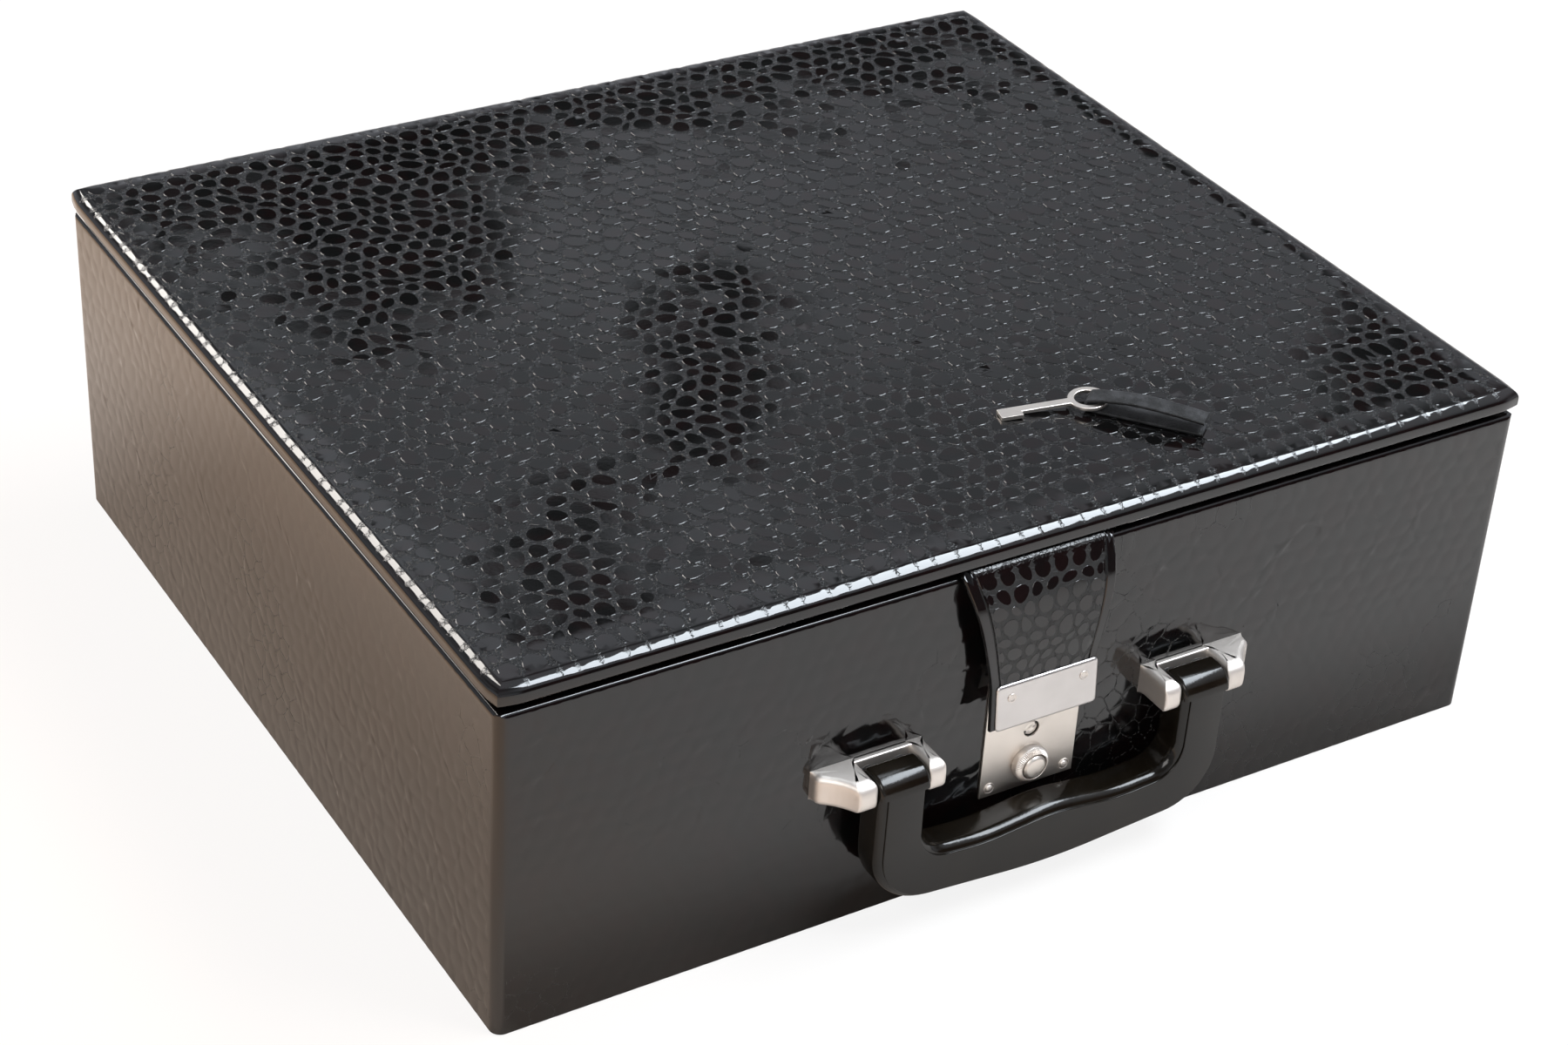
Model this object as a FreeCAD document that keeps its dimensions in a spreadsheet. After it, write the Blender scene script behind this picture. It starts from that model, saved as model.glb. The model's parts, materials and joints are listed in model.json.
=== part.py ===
import FreeCAD, Part
import Sketcher
import math
import os
from types import SimpleNamespace

# Lockable covered case: a board box with a hinged lid, a hasp flap, a push-button lock and a swinging handle.
# Millimetres and degrees. The origin is the middle of the base, +X runs to the right, -Y is the front.

SIZES = {
    # Case
    "body_width": 350.0,
    "body_depth": 310.0,
    "rim_height": 111.0,
    "covering": 1.2,
    "board": 8.0,
    "base_board": 6.0,
    "lining": 1.5,
    "foot_gap": 0.4,
    "body_edge_radius": 3.5,
    "rim_edge_bevel": 1.5,
    # Lid
    "seam": 2.5,
    "seat_gap": 0.3,
    "lid_thickness": 7.0,
    "lid_overhang": 1.0,
    "lid_edge": 2.0,
    "lid_padding": 1.2,
    "lid_turn_in": 14.0,
    "lid_corner_radius": 5.0,
    "lid_top_radius": 4.0,
    "lid_bottom_bevel": 1.2,
    # Hinges
    "hinge_inset": 70.0,
    "hinge_length": 40.0,
    "hinge_leaf": 1.2,
    "hinge_knuckle": 14.0,
    "hinge_barrel": 2.4,
    "hinge_pin": 1.0,
    "hinge_stand_off": 0.2,
    "hinge_drop": 2.7,
    "box_leaf_height": 18.0,
    "lid_leaf_depth": 8.0,
    "stop_lug_reach": 4.5,
    "stop_lug_drop": 0.9,
    "stop_lug_width": 10.0,
    "hinge_screw_spread": 12.0,
    "hinge_screw_drop": 12.0,
    "hinge_screw_length": 6.0,
    "lid_screw_length": 4.0,
    "screw_radius": 1.2,
    "screw_head_radius": 2.4,
    "screw_head": 0.8,
    # Handle brackets
    "bracket_inner": 38.8,
    "inner_lug": 5.7,
    "bracket_slot": 17.4,
    "outer_lug": 5.9,
    "bracket_flare": 8.7,
    "bracket_reach": 15.0,
    "bracket_plate": 2.0,
    "bracket_tip": 1.5,
    "bracket_waist": 9.5,
    "bracket_scoop_radius": 10.0,
    "bracket_bottom": 49.5,
    "bracket_height": 9.8,
    "bracket_top_radius": 4.5,
    "bracket_bottom_radius": 3.0,
    "bracket_screw_length": 6.0,
    "bracket_screw_inset": 3.4,
    # Handle
    "pin_radius": 2.0,
    "pin_out": 9.5,
    "pin_seat": 4.0,
    "running_gap": 0.05,
    "side_gap": 0.4,
    "handle_thickness": 12.0,
    "front_shell": 3.0,
    "handle_bottom": 8.0,
    "handle_shoulder": 13.2,
    "handle_corner_radius": 20.0,
    "handle_sweep_radius": 200.0,
    "grip_corner": 29.0,
    "grip_low": 27.4,
    "grip_low_place": 24.0,
    "grip_bump": 30.2,
    "grip_wave_radius": 60.0,
    "grip_corner_radius": 9.0,
    "handle_edge_radius": 2.5,
    "handle_back_bevel": 1.5,
    "core_width": 6.0,
    "core_thickness": 3.5,
    "core_grip": 18.5,
    "core_top_gap": 4.0,
    # Lock
    "lock_plate": 0.8,
    "lock_plate_width": 33.4,
    "lock_plate_bottom": 28.7,
    "lock_plate_height": 41.3,
    "lock_margin": 0.6,
    "lock_case_depth": 7.0,
    "lock_case_wall": 0.8,
    "rivet_spread": 13.4,
    "rivet_inset": 3.0,
    "rivet_top_inset": 7.5,
    "rivet_radius": 0.9,
    "rivet_head_radius": 1.5,
    "rivet_head": 0.7,
    "rivet_length": 4.0,
    "flat_head": 0.4,
    "post_radius": 2.0,
    "button_height": 37.5,
    "button_radius": 4.2,
    "button_travel": 2.0,
    "button_dome": 0.9,
    "button_bevel": 0.8,
    "bezel_radius": 6.0,
    "bezel_height": 3.6,
    "bezel_notches": 30,
    "bezel_notch": 0.45,
    "bezel_lip": 0.4,
    "cone_gap": 0.1,
    "cone_tip": 0.6,
    "slide_gap": 0.2,
    "latch_thickness": 1.1,
    "latch_arm": 3.3,
    "latch_arm_place": 5.2,
    "latch_foot": 2.6,
    "latch_foot_reach": 3.0,
    "latch_nose": 3.3,
    "latch_ear": 4.0,
    "latch_ear_height": 1.5,
    "latch_ear_top": 59.5,
    "spring_length": 11.0,
    "spring_radius": 1.5,
    "spring_bore": 1.0,
    "spring_lug": 1.5,
    "keyhole_height": 49.2,
    "keyhole_radius": 2.7,
    "plug_radius": 2.5,
    "plug_recess": 0.1,
    "barrel_radius": 3.6,
    "key_slot": 1.0,
    "key_slot_width": 3.4,
    "key_slot_depth": 4.0,
    "lever_width": 2.4,
    "lever_rest": 30.0,
    # Flap and hasp
    "flap_shift": -1.6,
    "flap_rest_tilt": 5.0,
    "flap_out": 1.9,
    "flap_bead": 1.7,
    "flap_face": 1.0,
    "flap_backing": 0.7,
    "flap_top_width": 52.0,
    "flap_low_width": 35.8,
    "flap_backing_drop": 2.2,
    "flap_backing_inset": 0.8,
    "anchor_gap": 0.2,
    "anchor_thickness": 1.6,
    "anchor_depth": 8.0,
    "hasp_width": 35.5,
    "hasp_height": 15.2,
    "hasp_bottom": 58.9,
    "hasp": 0.8,
    "hasp_corner_radius": 1.0,
    "hasp_rivet_spread": 12.6,
    "hasp_rivet_drop": 4.6,
    "catch_width": 6.0,
    "catch_base_width": 30.0,
    "catch_base_height": 9.0,
    "catch_base": 0.7,
    "catch_arm": 2.0,
    "catch_tooth": 1.5,
    "catch_tooth_thickness": 1.1,
    "catch_reach": 4.5,
    "catch_place": 65.0,
    "catch_slot_margin": 0.6,
    # Key and fob
    "key_tip_x": 18.9,
    "key_from_front": 57.6,
    "key_turn": -14.4,
    "key_pitch": 3.6,
    "key_thickness": 1.2,
    "key_blade_width": 3.0,
    "key_bit_width": 5.0,
    "key_bit_length": 7.0,
    "key_length": 28.5,
    "bow_radius": 6.2,
    "bow_hole_radius": 4.2,
    "fob_turn": -49.8,
    "fob_length": 36.0,
    "fob_width": 7.2,
    "fob_strip": 1.0,
    "fob_fold_height": 4.4,
    "fob_arch": 6.2,
    "fob_arch_place": 15.0,
    "fob_end_height": 4.8,
}

doc = FreeCAD.newDocument("CashBox")
sheet = doc.addObject("Spreadsheet::Sheet", "Sizes")
for row, (name, value) in enumerate(SIZES.items(), start=1):
    sheet.set(f"A{row}", name)
    sheet.set(f"B{row}", str(value))
    sheet.setAlias(f"B{row}", name)
doc.recompute()


# Sizes that keep their formula

class Size:
    """A length or an angle: its value, and the sheet formula that gives it."""

    def __init__(self, value, formula):
        self.value = value
        self.formula = formula

    def __add__(self, other):
        return Size(self.value + value_of(other), f"({self.formula} + {formula_of(other)})")

    def __radd__(self, other):
        return self + other

    def __sub__(self, other):
        return Size(self.value - value_of(other), f"({self.formula} - {formula_of(other)})")

    def __rsub__(self, other):
        return Size(value_of(other) - self.value, f"({formula_of(other)} - {self.formula})")

    def __mul__(self, other):
        return Size(self.value * value_of(other), f"({self.formula} * {formula_of(other)})")

    def __rmul__(self, other):
        return self * other

    def __truediv__(self, other):
        return Size(self.value / value_of(other), f"({self.formula} / {formula_of(other)})")

    def __neg__(self):
        return self * -1


def value_of(size):
    return size.value if isinstance(size, Size) else float(size)


def formula_of(size):
    return size.formula if isinstance(size, Size) else repr(float(size))


d = SimpleNamespace(**{name: Size(float(sheet.get(name)), f"Sizes.{name}") for name in SIZES})
NODES = {}


# Ways to make a piece

FULL_TURN = 360
LEAST_CUT = 1e-6
TOUCH = 1e-3


class Piece:
    """One solid made of sketched features: pads, cuts and rounded edges."""

    def __init__(self, label):
        self.body = doc.addObject("PartDesign::Body", label)
        self.body.Label = label
        self.label = label
        NODES[label] = self.body

    def sketch(self, plane, start, outlines):
        """Sketch on an origin plane, moved along its normal by start (XZ has the normal -Y)."""
        sketch = self.body.newObject("Sketcher::SketchObject", self.label + "_sketch")
        origin = next(item for item in self.body.Origin.OriginFeatures if item.Role == plane + "_Plane")
        sketch.AttachmentSupport = [(origin, "")]
        sketch.MapMode = "FlatFace"
        sketch.setExpression("AttachmentOffset.Base.z", formula_of(start))
        for draw, sizes in outlines:
            draw(sketch, *sizes)
        return sketch

    def feature(self, kind, sketch, length):
        feature = self.body.newObject("PartDesign::" + kind, self.label + "_" + kind.lower())
        feature.Profile = sketch
        feature.setExpression("Length", formula_of(length))
        return feature

    def pad(self, plane, start, length, *outlines):
        self.feature("Pad", self.sketch(plane, start, outlines), length)
        doc.recompute()
        return self

    def cut(self, plane, start, length, *outlines):
        """Cut from the sketch along its normal, and make sure that something was cut away."""
        before = self.body.Shape.Volume
        pocket = self.feature("Pocket", self.sketch(plane, start, outlines), length)
        pocket.Reversed = True
        doc.recompute()
        if self.body.Shape.Volume > before - LEAST_CUT:
            raise RuntimeError(self.label + ": a cut missed the solid")
        return self

    def turn(self, outline):
        """Revolve an outline of the YZ plane a full turn about the Y axis."""
        sketch = self.sketch("YZ", 0, [outline])
        revolution = self.body.newObject("PartDesign::Revolution", self.label + "_revolution")
        revolution.Profile = sketch
        revolution.ReferenceAxis = (sketch, ["H_Axis"])
        revolution.Angle = FULL_TURN
        doc.recompute()
        return self

    def ease(self, kind, size_name, size, pick):
        """Fillet or chamfer each edge that pick accepts."""
        tip = self.body.Tip
        edges = [f"Edge{i}" for i, edge in enumerate(tip.Shape.Edges, start=1) if pick(edge)]
        eased = self.body.newObject("PartDesign::" + kind, self.label + "_" + kind.lower())
        eased.Base = (tip, edges)
        eased.setExpression(size_name, formula_of(size))
        doc.recompute()
        return self

    def round(self, radius, pick):
        return self.ease("Fillet", "Radius", radius, pick)

    def bevel(self, size, pick):
        return self.ease("Chamfer", "Size", size, pick)

    def repeat_round(self, count):
        """Repeat the last cut around the normal of its sketch."""
        last = self.body.Tip
        pattern = self.body.newObject("PartDesign::PolarPattern", self.label + "_pattern")
        pattern.Originals = [last]
        pattern.Axis = (last.Profile[0], ["N_Axis"])
        pattern.setExpression("Occurrences", formula_of(count))
        self.body.Tip = pattern
        doc.recompute()
        return self

    def place(self, placement):
        self.body.Placement = placement
        return self


def pin_point(sketch, index, position, point):
    """Bind a point of sketch geometry to two sizes, measured from the sketch origin."""
    for kind, size in zip(("DistanceX", "DistanceY"), point):
        number = sketch.addConstraint(Sketcher.Constraint(kind, -1, 1, index, position, value_of(size)))
        sketch.setExpression(f"Constraints[{number}]", formula_of(size))


def draw_polygon(sketch, *points):
    corners = [FreeCAD.Vector(value_of(u), value_of(v), 0) for u, v in points]
    first = sketch.GeometryCount
    count = len(corners)
    for i, corner in enumerate(corners):
        sketch.addGeometry(Part.LineSegment(corner, corners[(i + 1) % count]), False)
    for i, point in enumerate(points):
        sketch.addConstraint(Sketcher.Constraint("Coincident", first + (i - 1) % count, 2, first + i, 1))
        pin_point(sketch, first + i, 1, point)


def draw_circle(sketch, u, v, radius):
    centre = FreeCAD.Vector(value_of(u), value_of(v), 0)
    shape = Part.Circle(centre, FreeCAD.Vector(0, 0, 1), value_of(radius))
    index = sketch.addGeometry(shape, False)
    number = sketch.addConstraint(Sketcher.Constraint("Radius", index, value_of(radius)))
    sketch.setExpression(f"Constraints[{number}]", formula_of(radius))
    pin_point(sketch, index, 3, (u, v))


def polygon(*points):
    return draw_polygon, points


def rectangle(low_u, low_v, high_u, high_v):
    return polygon((low_u, low_v), (high_u, low_v), (high_u, high_v), (low_u, high_v))


def circle(u, v, radius):
    return draw_circle, (u, v, radius)


SHANK_SIDES = 6
TUBE_SIDES = 8
BARREL_SIDES = 12


def many_sided(u, v, radius, sides):
    """A regular polygon with its first corner on the sketch's first axis: a small or hidden round."""
    turns = [2 * math.pi * i / sides for i in range(sides)]
    return polygon(*[(u + radius * math.cos(turn), v + radius * math.sin(turn)) for turn in turns])


def shank_hole(u, v, radius):
    return many_sided(u, v, radius, SHANK_SIDES)


AXES = "xyz"


def near(first, second):
    return abs(first - value_of(second)) < TOUCH


def lines_along(axis, *places):
    """Pick straight edges along an axis that pass through one of the places, given in the other two axes."""
    others = [name for name in AXES if name != axis]

    def pick(edge):
        ends = [vertex.Point for vertex in edge.Vertexes]
        if len(ends) != 2 or not isinstance(edge.Curve, Part.Line):
            return False
        if any(not near(getattr(ends[0], name), getattr(ends[1], name)) for name in others):
            return False
        return any(all(near(getattr(ends[0], name), size) for name, size in zip(others, place))
                   for place in places)
    return pick


def edges_in_plane(axis, size, skip=None):
    """Pick the edges that lie in a plane across an axis, except those that skip accepts."""
    def pick(edge):
        box = edge.BoundBox
        low, high = getattr(box, axis.upper() + "Min"), getattr(box, axis.upper() + "Max")
        return near(low, size) and near(high, size) and not (skip and skip(edge))
    return pick


def block(label, low, high):
    """A plain board or sheet between two opposite corners."""
    box = doc.addObject("Part::Box", label)
    for side, axis, start, end in zip(("Length", "Width", "Height"), AXES, low, high):
        box.setExpression(side, formula_of(end - start))
        box.setExpression("Placement.Base." + axis, formula_of(start))
    NODES[label] = box
    return box


TURNS = {
    "+x": FreeCAD.Rotation(FreeCAD.Vector(0, 1, 0), 90),
    "+y": FreeCAD.Rotation(FreeCAD.Vector(1, 0, 0), -90),
    "-y": FreeCAD.Rotation(FreeCAD.Vector(1, 0, 0), 90),
    "+z": FreeCAD.Rotation(),
    "-z": FreeCAD.Rotation(FreeCAD.Vector(1, 0, 0), 180),
}


def put(item, start, way):
    item.Placement = FreeCAD.Placement(FreeCAD.Vector(), TURNS[way])
    for axis, size in zip(AXES, start):
        item.setExpression("Placement.Base." + axis, formula_of(size))


def prism(label, start, way, sides, radius, length):
    item = doc.addObject("Part::Prism", label)
    item.Polygon = sides
    item.setExpression("Circumradius", formula_of(radius))
    item.setExpression("Height", formula_of(length))
    put(item, start, way)
    return item


OPPOSITE = {"+y": "-y", "-y": "+y", "-z": "+z", "+z": "-z"}
HEAD_SIDES = 10


def fasteners(label, seats, way, head_radius, head, radius, length):
    """A group of like screws or rivets: seats are the points under the heads, way is where the heads face."""
    group = doc.addObject("Part::Compound", label)
    made = []
    for i, seat in enumerate(seats):
        top = prism(f"{label}_head_{i}", seat, way, HEAD_SIDES, head_radius, head)
        shank = prism(f"{label}_shank_{i}", seat, OPPOSITE[way], SHANK_SIDES, radius, length)
        whole = doc.addObject("Part::Fuse", f"{label}_{i}")
        whole.Base = top
        whole.Tool = shank
        made.append(whole)
    group.Links = made
    NODES[label] = group
    doc.recompute()


SIDES = {"left": -1, "right": 1}

# Places that several pieces share
half_width = d.body_width / 2
half_depth = d.body_depth / 2
board_x = half_width - d.covering
board_y = half_depth - d.covering
inner_x = board_x - d.board
inner_y = board_y - d.board
wall_top = d.rim_height - d.covering
floor_top = d.covering + d.base_board
lid_bottom = d.rim_height + d.seam
lid_top = lid_bottom + d.lid_thickness
lid_x = half_width + d.lid_overhang
lid_y = half_depth + d.lid_overhang
lining_top = lid_bottom - d.seat_gap
lining_bottom = floor_top + d.lining

# Lock places: the case fills a mortise behind the plate
plate_half = d.lock_plate_width / 2
plate_top = d.lock_plate_bottom + d.lock_plate_height
case_half = plate_half - d.lock_margin
case_bottom = d.lock_plate_bottom + d.lock_margin
case_top = plate_top - d.lock_margin
case_back = half_depth - d.lock_case_depth
case_outline = rectangle(-case_half, case_bottom, case_half, case_top)

# Hinge places: the barrel stands just outside the back wall, below the lid
hinge_y = half_depth + d.hinge_stand_off + d.hinge_barrel
hinge_z = lid_bottom - d.hinge_drop
hinge_place = half_width - d.hinge_inset
hinge_screw_z = hinge_z - d.hinge_screw_drop
lid_screw_y = half_depth - d.lid_leaf_depth / 2
lid_leaf_edge = half_depth - d.seat_gap

# Bracket places
slot_inner = d.bracket_inner + d.inner_lug
slot_outer = slot_inner + d.bracket_slot
lug_outer = slot_outer + d.outer_lug
pin_y = half_depth + d.pin_out
pin_z = d.bracket_bottom + d.bracket_height - d.handle_thickness / 2
bracket_screw_z = d.bracket_bottom + d.bracket_height / 2
bracket_screw_x = (slot_inner + d.bracket_screw_inset, slot_outer - d.bracket_screw_inset)


def hinge_screw_places():
    return [(side * hinge_place + way * d.hinge_screw_spread)
            for side in SIDES.values() for way in SIDES.values()]


def bracket_screw_places():
    return [side * place for side in SIDES.values() for place in bracket_screw_x]


# Case boards
def case_boards():
    front = Piece("front_board")
    front.pad("XZ", inner_y, d.board, rectangle(-board_x, d.covering, board_x, wall_top))
    front.cut("XZ", case_back, d.lock_case_depth - d.covering, case_outline)
    depth = d.bracket_screw_length - d.covering - d.bracket_plate
    holes = [shank_hole(x, bracket_screw_z, d.screw_radius) for x in bracket_screw_places()]
    front.cut("XZ", board_y - depth, depth, *holes)
    back = Piece("back_board")
    back.pad("XZ", -board_y, d.board, rectangle(-board_x, d.covering, board_x, wall_top))
    holes = [shank_hole(x, hinge_screw_z, d.screw_radius) for x in hinge_screw_places()]
    back.cut("XZ", -board_y, d.hinge_screw_length - d.hinge_leaf - d.covering, *holes)
    block("left_board", (-board_x, -inner_y, d.covering), (-inner_x, inner_y, wall_top))
    block("right_board", (inner_x, -inner_y, d.covering), (board_x, inner_y, wall_top))
    block("bottom_board", (-inner_x, -inner_y, d.covering), (inner_x, inner_y, floor_top))


# Leatherette round the walls, turned in over the rim
def case_coverings():
    block("base_covering", (-board_x, -board_y, 0), (board_x, board_y, d.covering))
    skin = Piece("side_covering")
    skin.pad("XY", d.foot_gap, d.rim_height - d.foot_gap,
             rectangle(-half_width, -half_depth, half_width, half_depth))
    corners = [(x * half_width, y * half_depth) for x in SIDES.values() for y in SIDES.values()]
    skin.round(d.body_edge_radius, lines_along("z", *corners))
    skin.bevel(d.rim_edge_bevel, edges_in_plane("z", d.rim_height))
    skin.cut("XY", d.foot_gap, wall_top - d.foot_gap, rectangle(-board_x, -board_y, board_x, board_y))
    skin.cut("XY", wall_top, d.covering, rectangle(-inner_x, -inner_y, inner_x, inner_y))
    holes = [shank_hole(x, bracket_screw_z, d.screw_radius) for x in bracket_screw_places()]
    skin.cut("XZ", board_y, d.covering, case_outline, *holes)
    holes = [shank_hole(x, hinge_screw_z, d.screw_radius) for x in hinge_screw_places()]
    skin.cut("XZ", -half_depth, d.covering, *holes)


# Lining panels: the walls' panels stand above the rim and carry the lid
def case_linings():
    block("floor_lining", (-inner_x, -inner_y, floor_top), (inner_x, inner_y, lining_bottom))
    lined_y = inner_y - d.lining
    lined_x = inner_x - d.lining
    block("lining_front", (-inner_x, -inner_y, lining_bottom), (inner_x, -lined_y, lining_top))
    block("lining_back", (-inner_x, lined_y, lining_bottom), (inner_x, inner_y, lining_top))
    block("lining_left", (-inner_x, -lined_y, lining_bottom), (-lined_x, lined_y, lining_top))
    block("lining_right", (lined_x, -lined_y, lining_bottom), (inner_x, lined_y, lining_top))


# Lid: covering turned under a padded board, with a lining panel inside the turn-in
def lid_pieces():
    skin = Piece("lid_covering")
    skin.pad("XY", lid_bottom, d.lid_thickness, rectangle(-lid_x, -lid_y, lid_x, lid_y))
    corners = [(x * lid_x, y * lid_y) for x in SIDES.values() for y in SIDES.values()]
    skin.round(d.lid_corner_radius, lines_along("z", *corners))
    skin.round(d.lid_top_radius, edges_in_plane("z", lid_top))
    skin.bevel(d.lid_bottom_bevel, edges_in_plane("z", lid_bottom))
    core_x = lid_x - d.lid_edge
    core_y = lid_y - d.lid_edge
    core_bottom = lid_bottom + d.covering
    core_top = lid_top - d.covering
    lining_x = lid_x - d.lid_turn_in
    lining_y = lid_y - d.lid_turn_in
    skin.cut("XY", lid_bottom, d.covering, rectangle(-lining_x, -lining_y, lining_x, lining_y))
    skin.cut("XY", core_bottom, core_top - core_bottom, rectangle(-core_x, -core_y, core_x, core_y))
    screws = [shank_hole(x, lid_screw_y, d.screw_radius) for x in hinge_screw_places()]
    skin.cut("XY", lid_bottom, d.covering, *screws)
    core = Piece("lid_board")
    core.pad("XY", core_bottom, core_top - d.lid_padding - core_bottom,
             rectangle(-core_x, -core_y, core_x, core_y))
    core.cut("XY", core_bottom, d.lid_screw_length - d.hinge_leaf - d.covering, *screws)
    block("lid_padding", (-core_x, -core_y, core_top - d.lid_padding), (core_x, core_y, core_top))
    block("lid_lining", (-lining_x, -lining_y, lid_bottom), (lining_x, lining_y, core_bottom))


# Stop hinges: the box leaf lies on the back wall, the lid leaf under the lid
def hinge(side, sign):
    middle = sign * hinge_place
    low = middle - d.hinge_length / 2
    high = middle + d.hinge_length / 2
    end = (d.hinge_length - d.hinge_knuckle) / 2 - d.side_gap / 2
    knuckle = many_sided(hinge_y, hinge_z, d.hinge_barrel, BARREL_SIDES)
    leaf = Piece(f"hinge_{side}_box_leaf")
    leaf.pad("XZ", -half_depth - d.hinge_leaf, d.hinge_leaf,
             rectangle(low, hinge_z - d.box_leaf_height, high, hinge_z))
    notch = d.hinge_knuckle / 2 + d.side_gap / 2
    notch_bottom = hinge_z - d.hinge_barrel - d.side_gap
    leaf.cut("XZ", -half_depth - d.hinge_leaf, d.hinge_leaf,
             rectangle(middle - notch, notch_bottom, middle + notch, hinge_z + d.hinge_barrel))
    leaf.pad("YZ", low, end, knuckle)
    leaf.pad("YZ", high - end, end, knuckle)
    leaf.cut("YZ", low, d.hinge_length, circle(hinge_y, hinge_z, d.hinge_pin))
    places = [middle + way * d.hinge_screw_spread for way in SIDES.values()]
    leaf.cut("XZ", -half_depth - d.hinge_leaf, d.hinge_leaf,
             *[shank_hole(x, hinge_screw_z, d.screw_radius) for x in places])

    flap = Piece(f"hinge_{side}_lid_leaf")
    flap.pad("XY", lid_bottom - d.hinge_leaf, d.hinge_leaf,
             rectangle(low, half_depth - d.lid_leaf_depth, high, lid_leaf_edge))
    first = middle - d.hinge_knuckle / 2
    flap.pad("YZ", first, d.hinge_knuckle, knuckle)
    flap.pad("YZ", first, d.hinge_knuckle,
             rectangle(lid_leaf_edge, lid_bottom - d.hinge_leaf, hinge_y, lid_bottom))
    flap.pad("YZ", middle - d.stop_lug_width / 2, d.stop_lug_width,
             rectangle(hinge_y, hinge_z - d.stop_lug_drop, hinge_y + d.stop_lug_reach,
                       hinge_z - d.stop_lug_drop + d.hinge_leaf))
    flap.cut("YZ", first, d.hinge_knuckle, circle(hinge_y, hinge_z, d.hinge_pin + d.running_gap))
    flap.cut("XY", lid_bottom - d.hinge_leaf, d.hinge_leaf,
             *[shank_hole(x, lid_screw_y, d.screw_radius) for x in places])
    label = f"hinge_{side}_pin"
    NODES[label] = prism(label, (low, hinge_y, hinge_z), "+x", BARREL_SIDES, d.hinge_pin, d.hinge_length)


def hinge_screws():
    seats = [(x, half_depth + d.hinge_leaf, hinge_screw_z) for x in hinge_screw_places()]
    fasteners("hinge_box_screws", seats, "+y", d.screw_head_radius, d.screw_head,
              d.screw_radius, d.hinge_screw_length)
    seats = [(x, lid_screw_y, lid_bottom - d.hinge_leaf) for x in hinge_screw_places()]
    fasteners("hinge_lid_screws", seats, "-z", d.screw_head_radius, d.screw_head,
              d.screw_radius, d.lid_screw_length)


# Handle bracket: a clevis casting whose outer lug flares to the wall in a scoop
def bracket(side, sign):
    plan = [
        (d.bracket_inner, 0),
        (d.bracket_inner, d.bracket_reach),
        (slot_inner, d.bracket_reach),
        (slot_inner, d.bracket_plate),
        (slot_outer, d.bracket_plate),
        (slot_outer, d.bracket_reach),
        (lug_outer, d.bracket_reach),
        (lug_outer, d.bracket_waist),
        (lug_outer + d.bracket_flare, d.bracket_tip),
        (lug_outer + d.bracket_flare, 0),
    ]
    casting = Piece(f"bracket_{side}")
    top = d.bracket_bottom + d.bracket_height
    nose = -half_depth - d.bracket_reach
    casting.pad("XY", d.bracket_bottom, d.bracket_height,
                polygon(*[(sign * x, -half_depth - out) for x, out in plan]))
    casting.round(d.bracket_scoop_radius, lines_along("z", (sign * lug_outer, -half_depth - d.bracket_waist)))
    casting.round(d.bracket_top_radius, lines_along("x", (nose, top)))
    casting.round(d.bracket_bottom_radius, lines_along("x", (nose, d.bracket_bottom)))
    pin_start = slot_inner - d.pin_seat
    pin_length = d.bracket_slot + 2 * d.pin_seat
    low = pin_start if sign > 0 else -pin_start - pin_length
    casting.cut("YZ", low, pin_length, circle(-pin_y, pin_z, d.pin_radius))
    holes = [shank_hole(sign * x, bracket_screw_z, d.screw_radius) for x in bracket_screw_x]
    casting.cut("XZ", half_depth, d.bracket_plate, *holes)
    label = f"handle_pin_{side}"
    NODES[label] = prism(label, (low, -pin_y, pin_z), "+x", BARREL_SIDES, d.pin_radius, pin_length)


def bracket_screws():
    seats = [(x, -half_depth - d.bracket_plate, bracket_screw_z) for x in bracket_screw_places()]
    fasteners("bracket_screws", seats, "-y", d.screw_head_radius, d.screw_head,
              d.screw_radius, d.bracket_screw_length)


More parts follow.
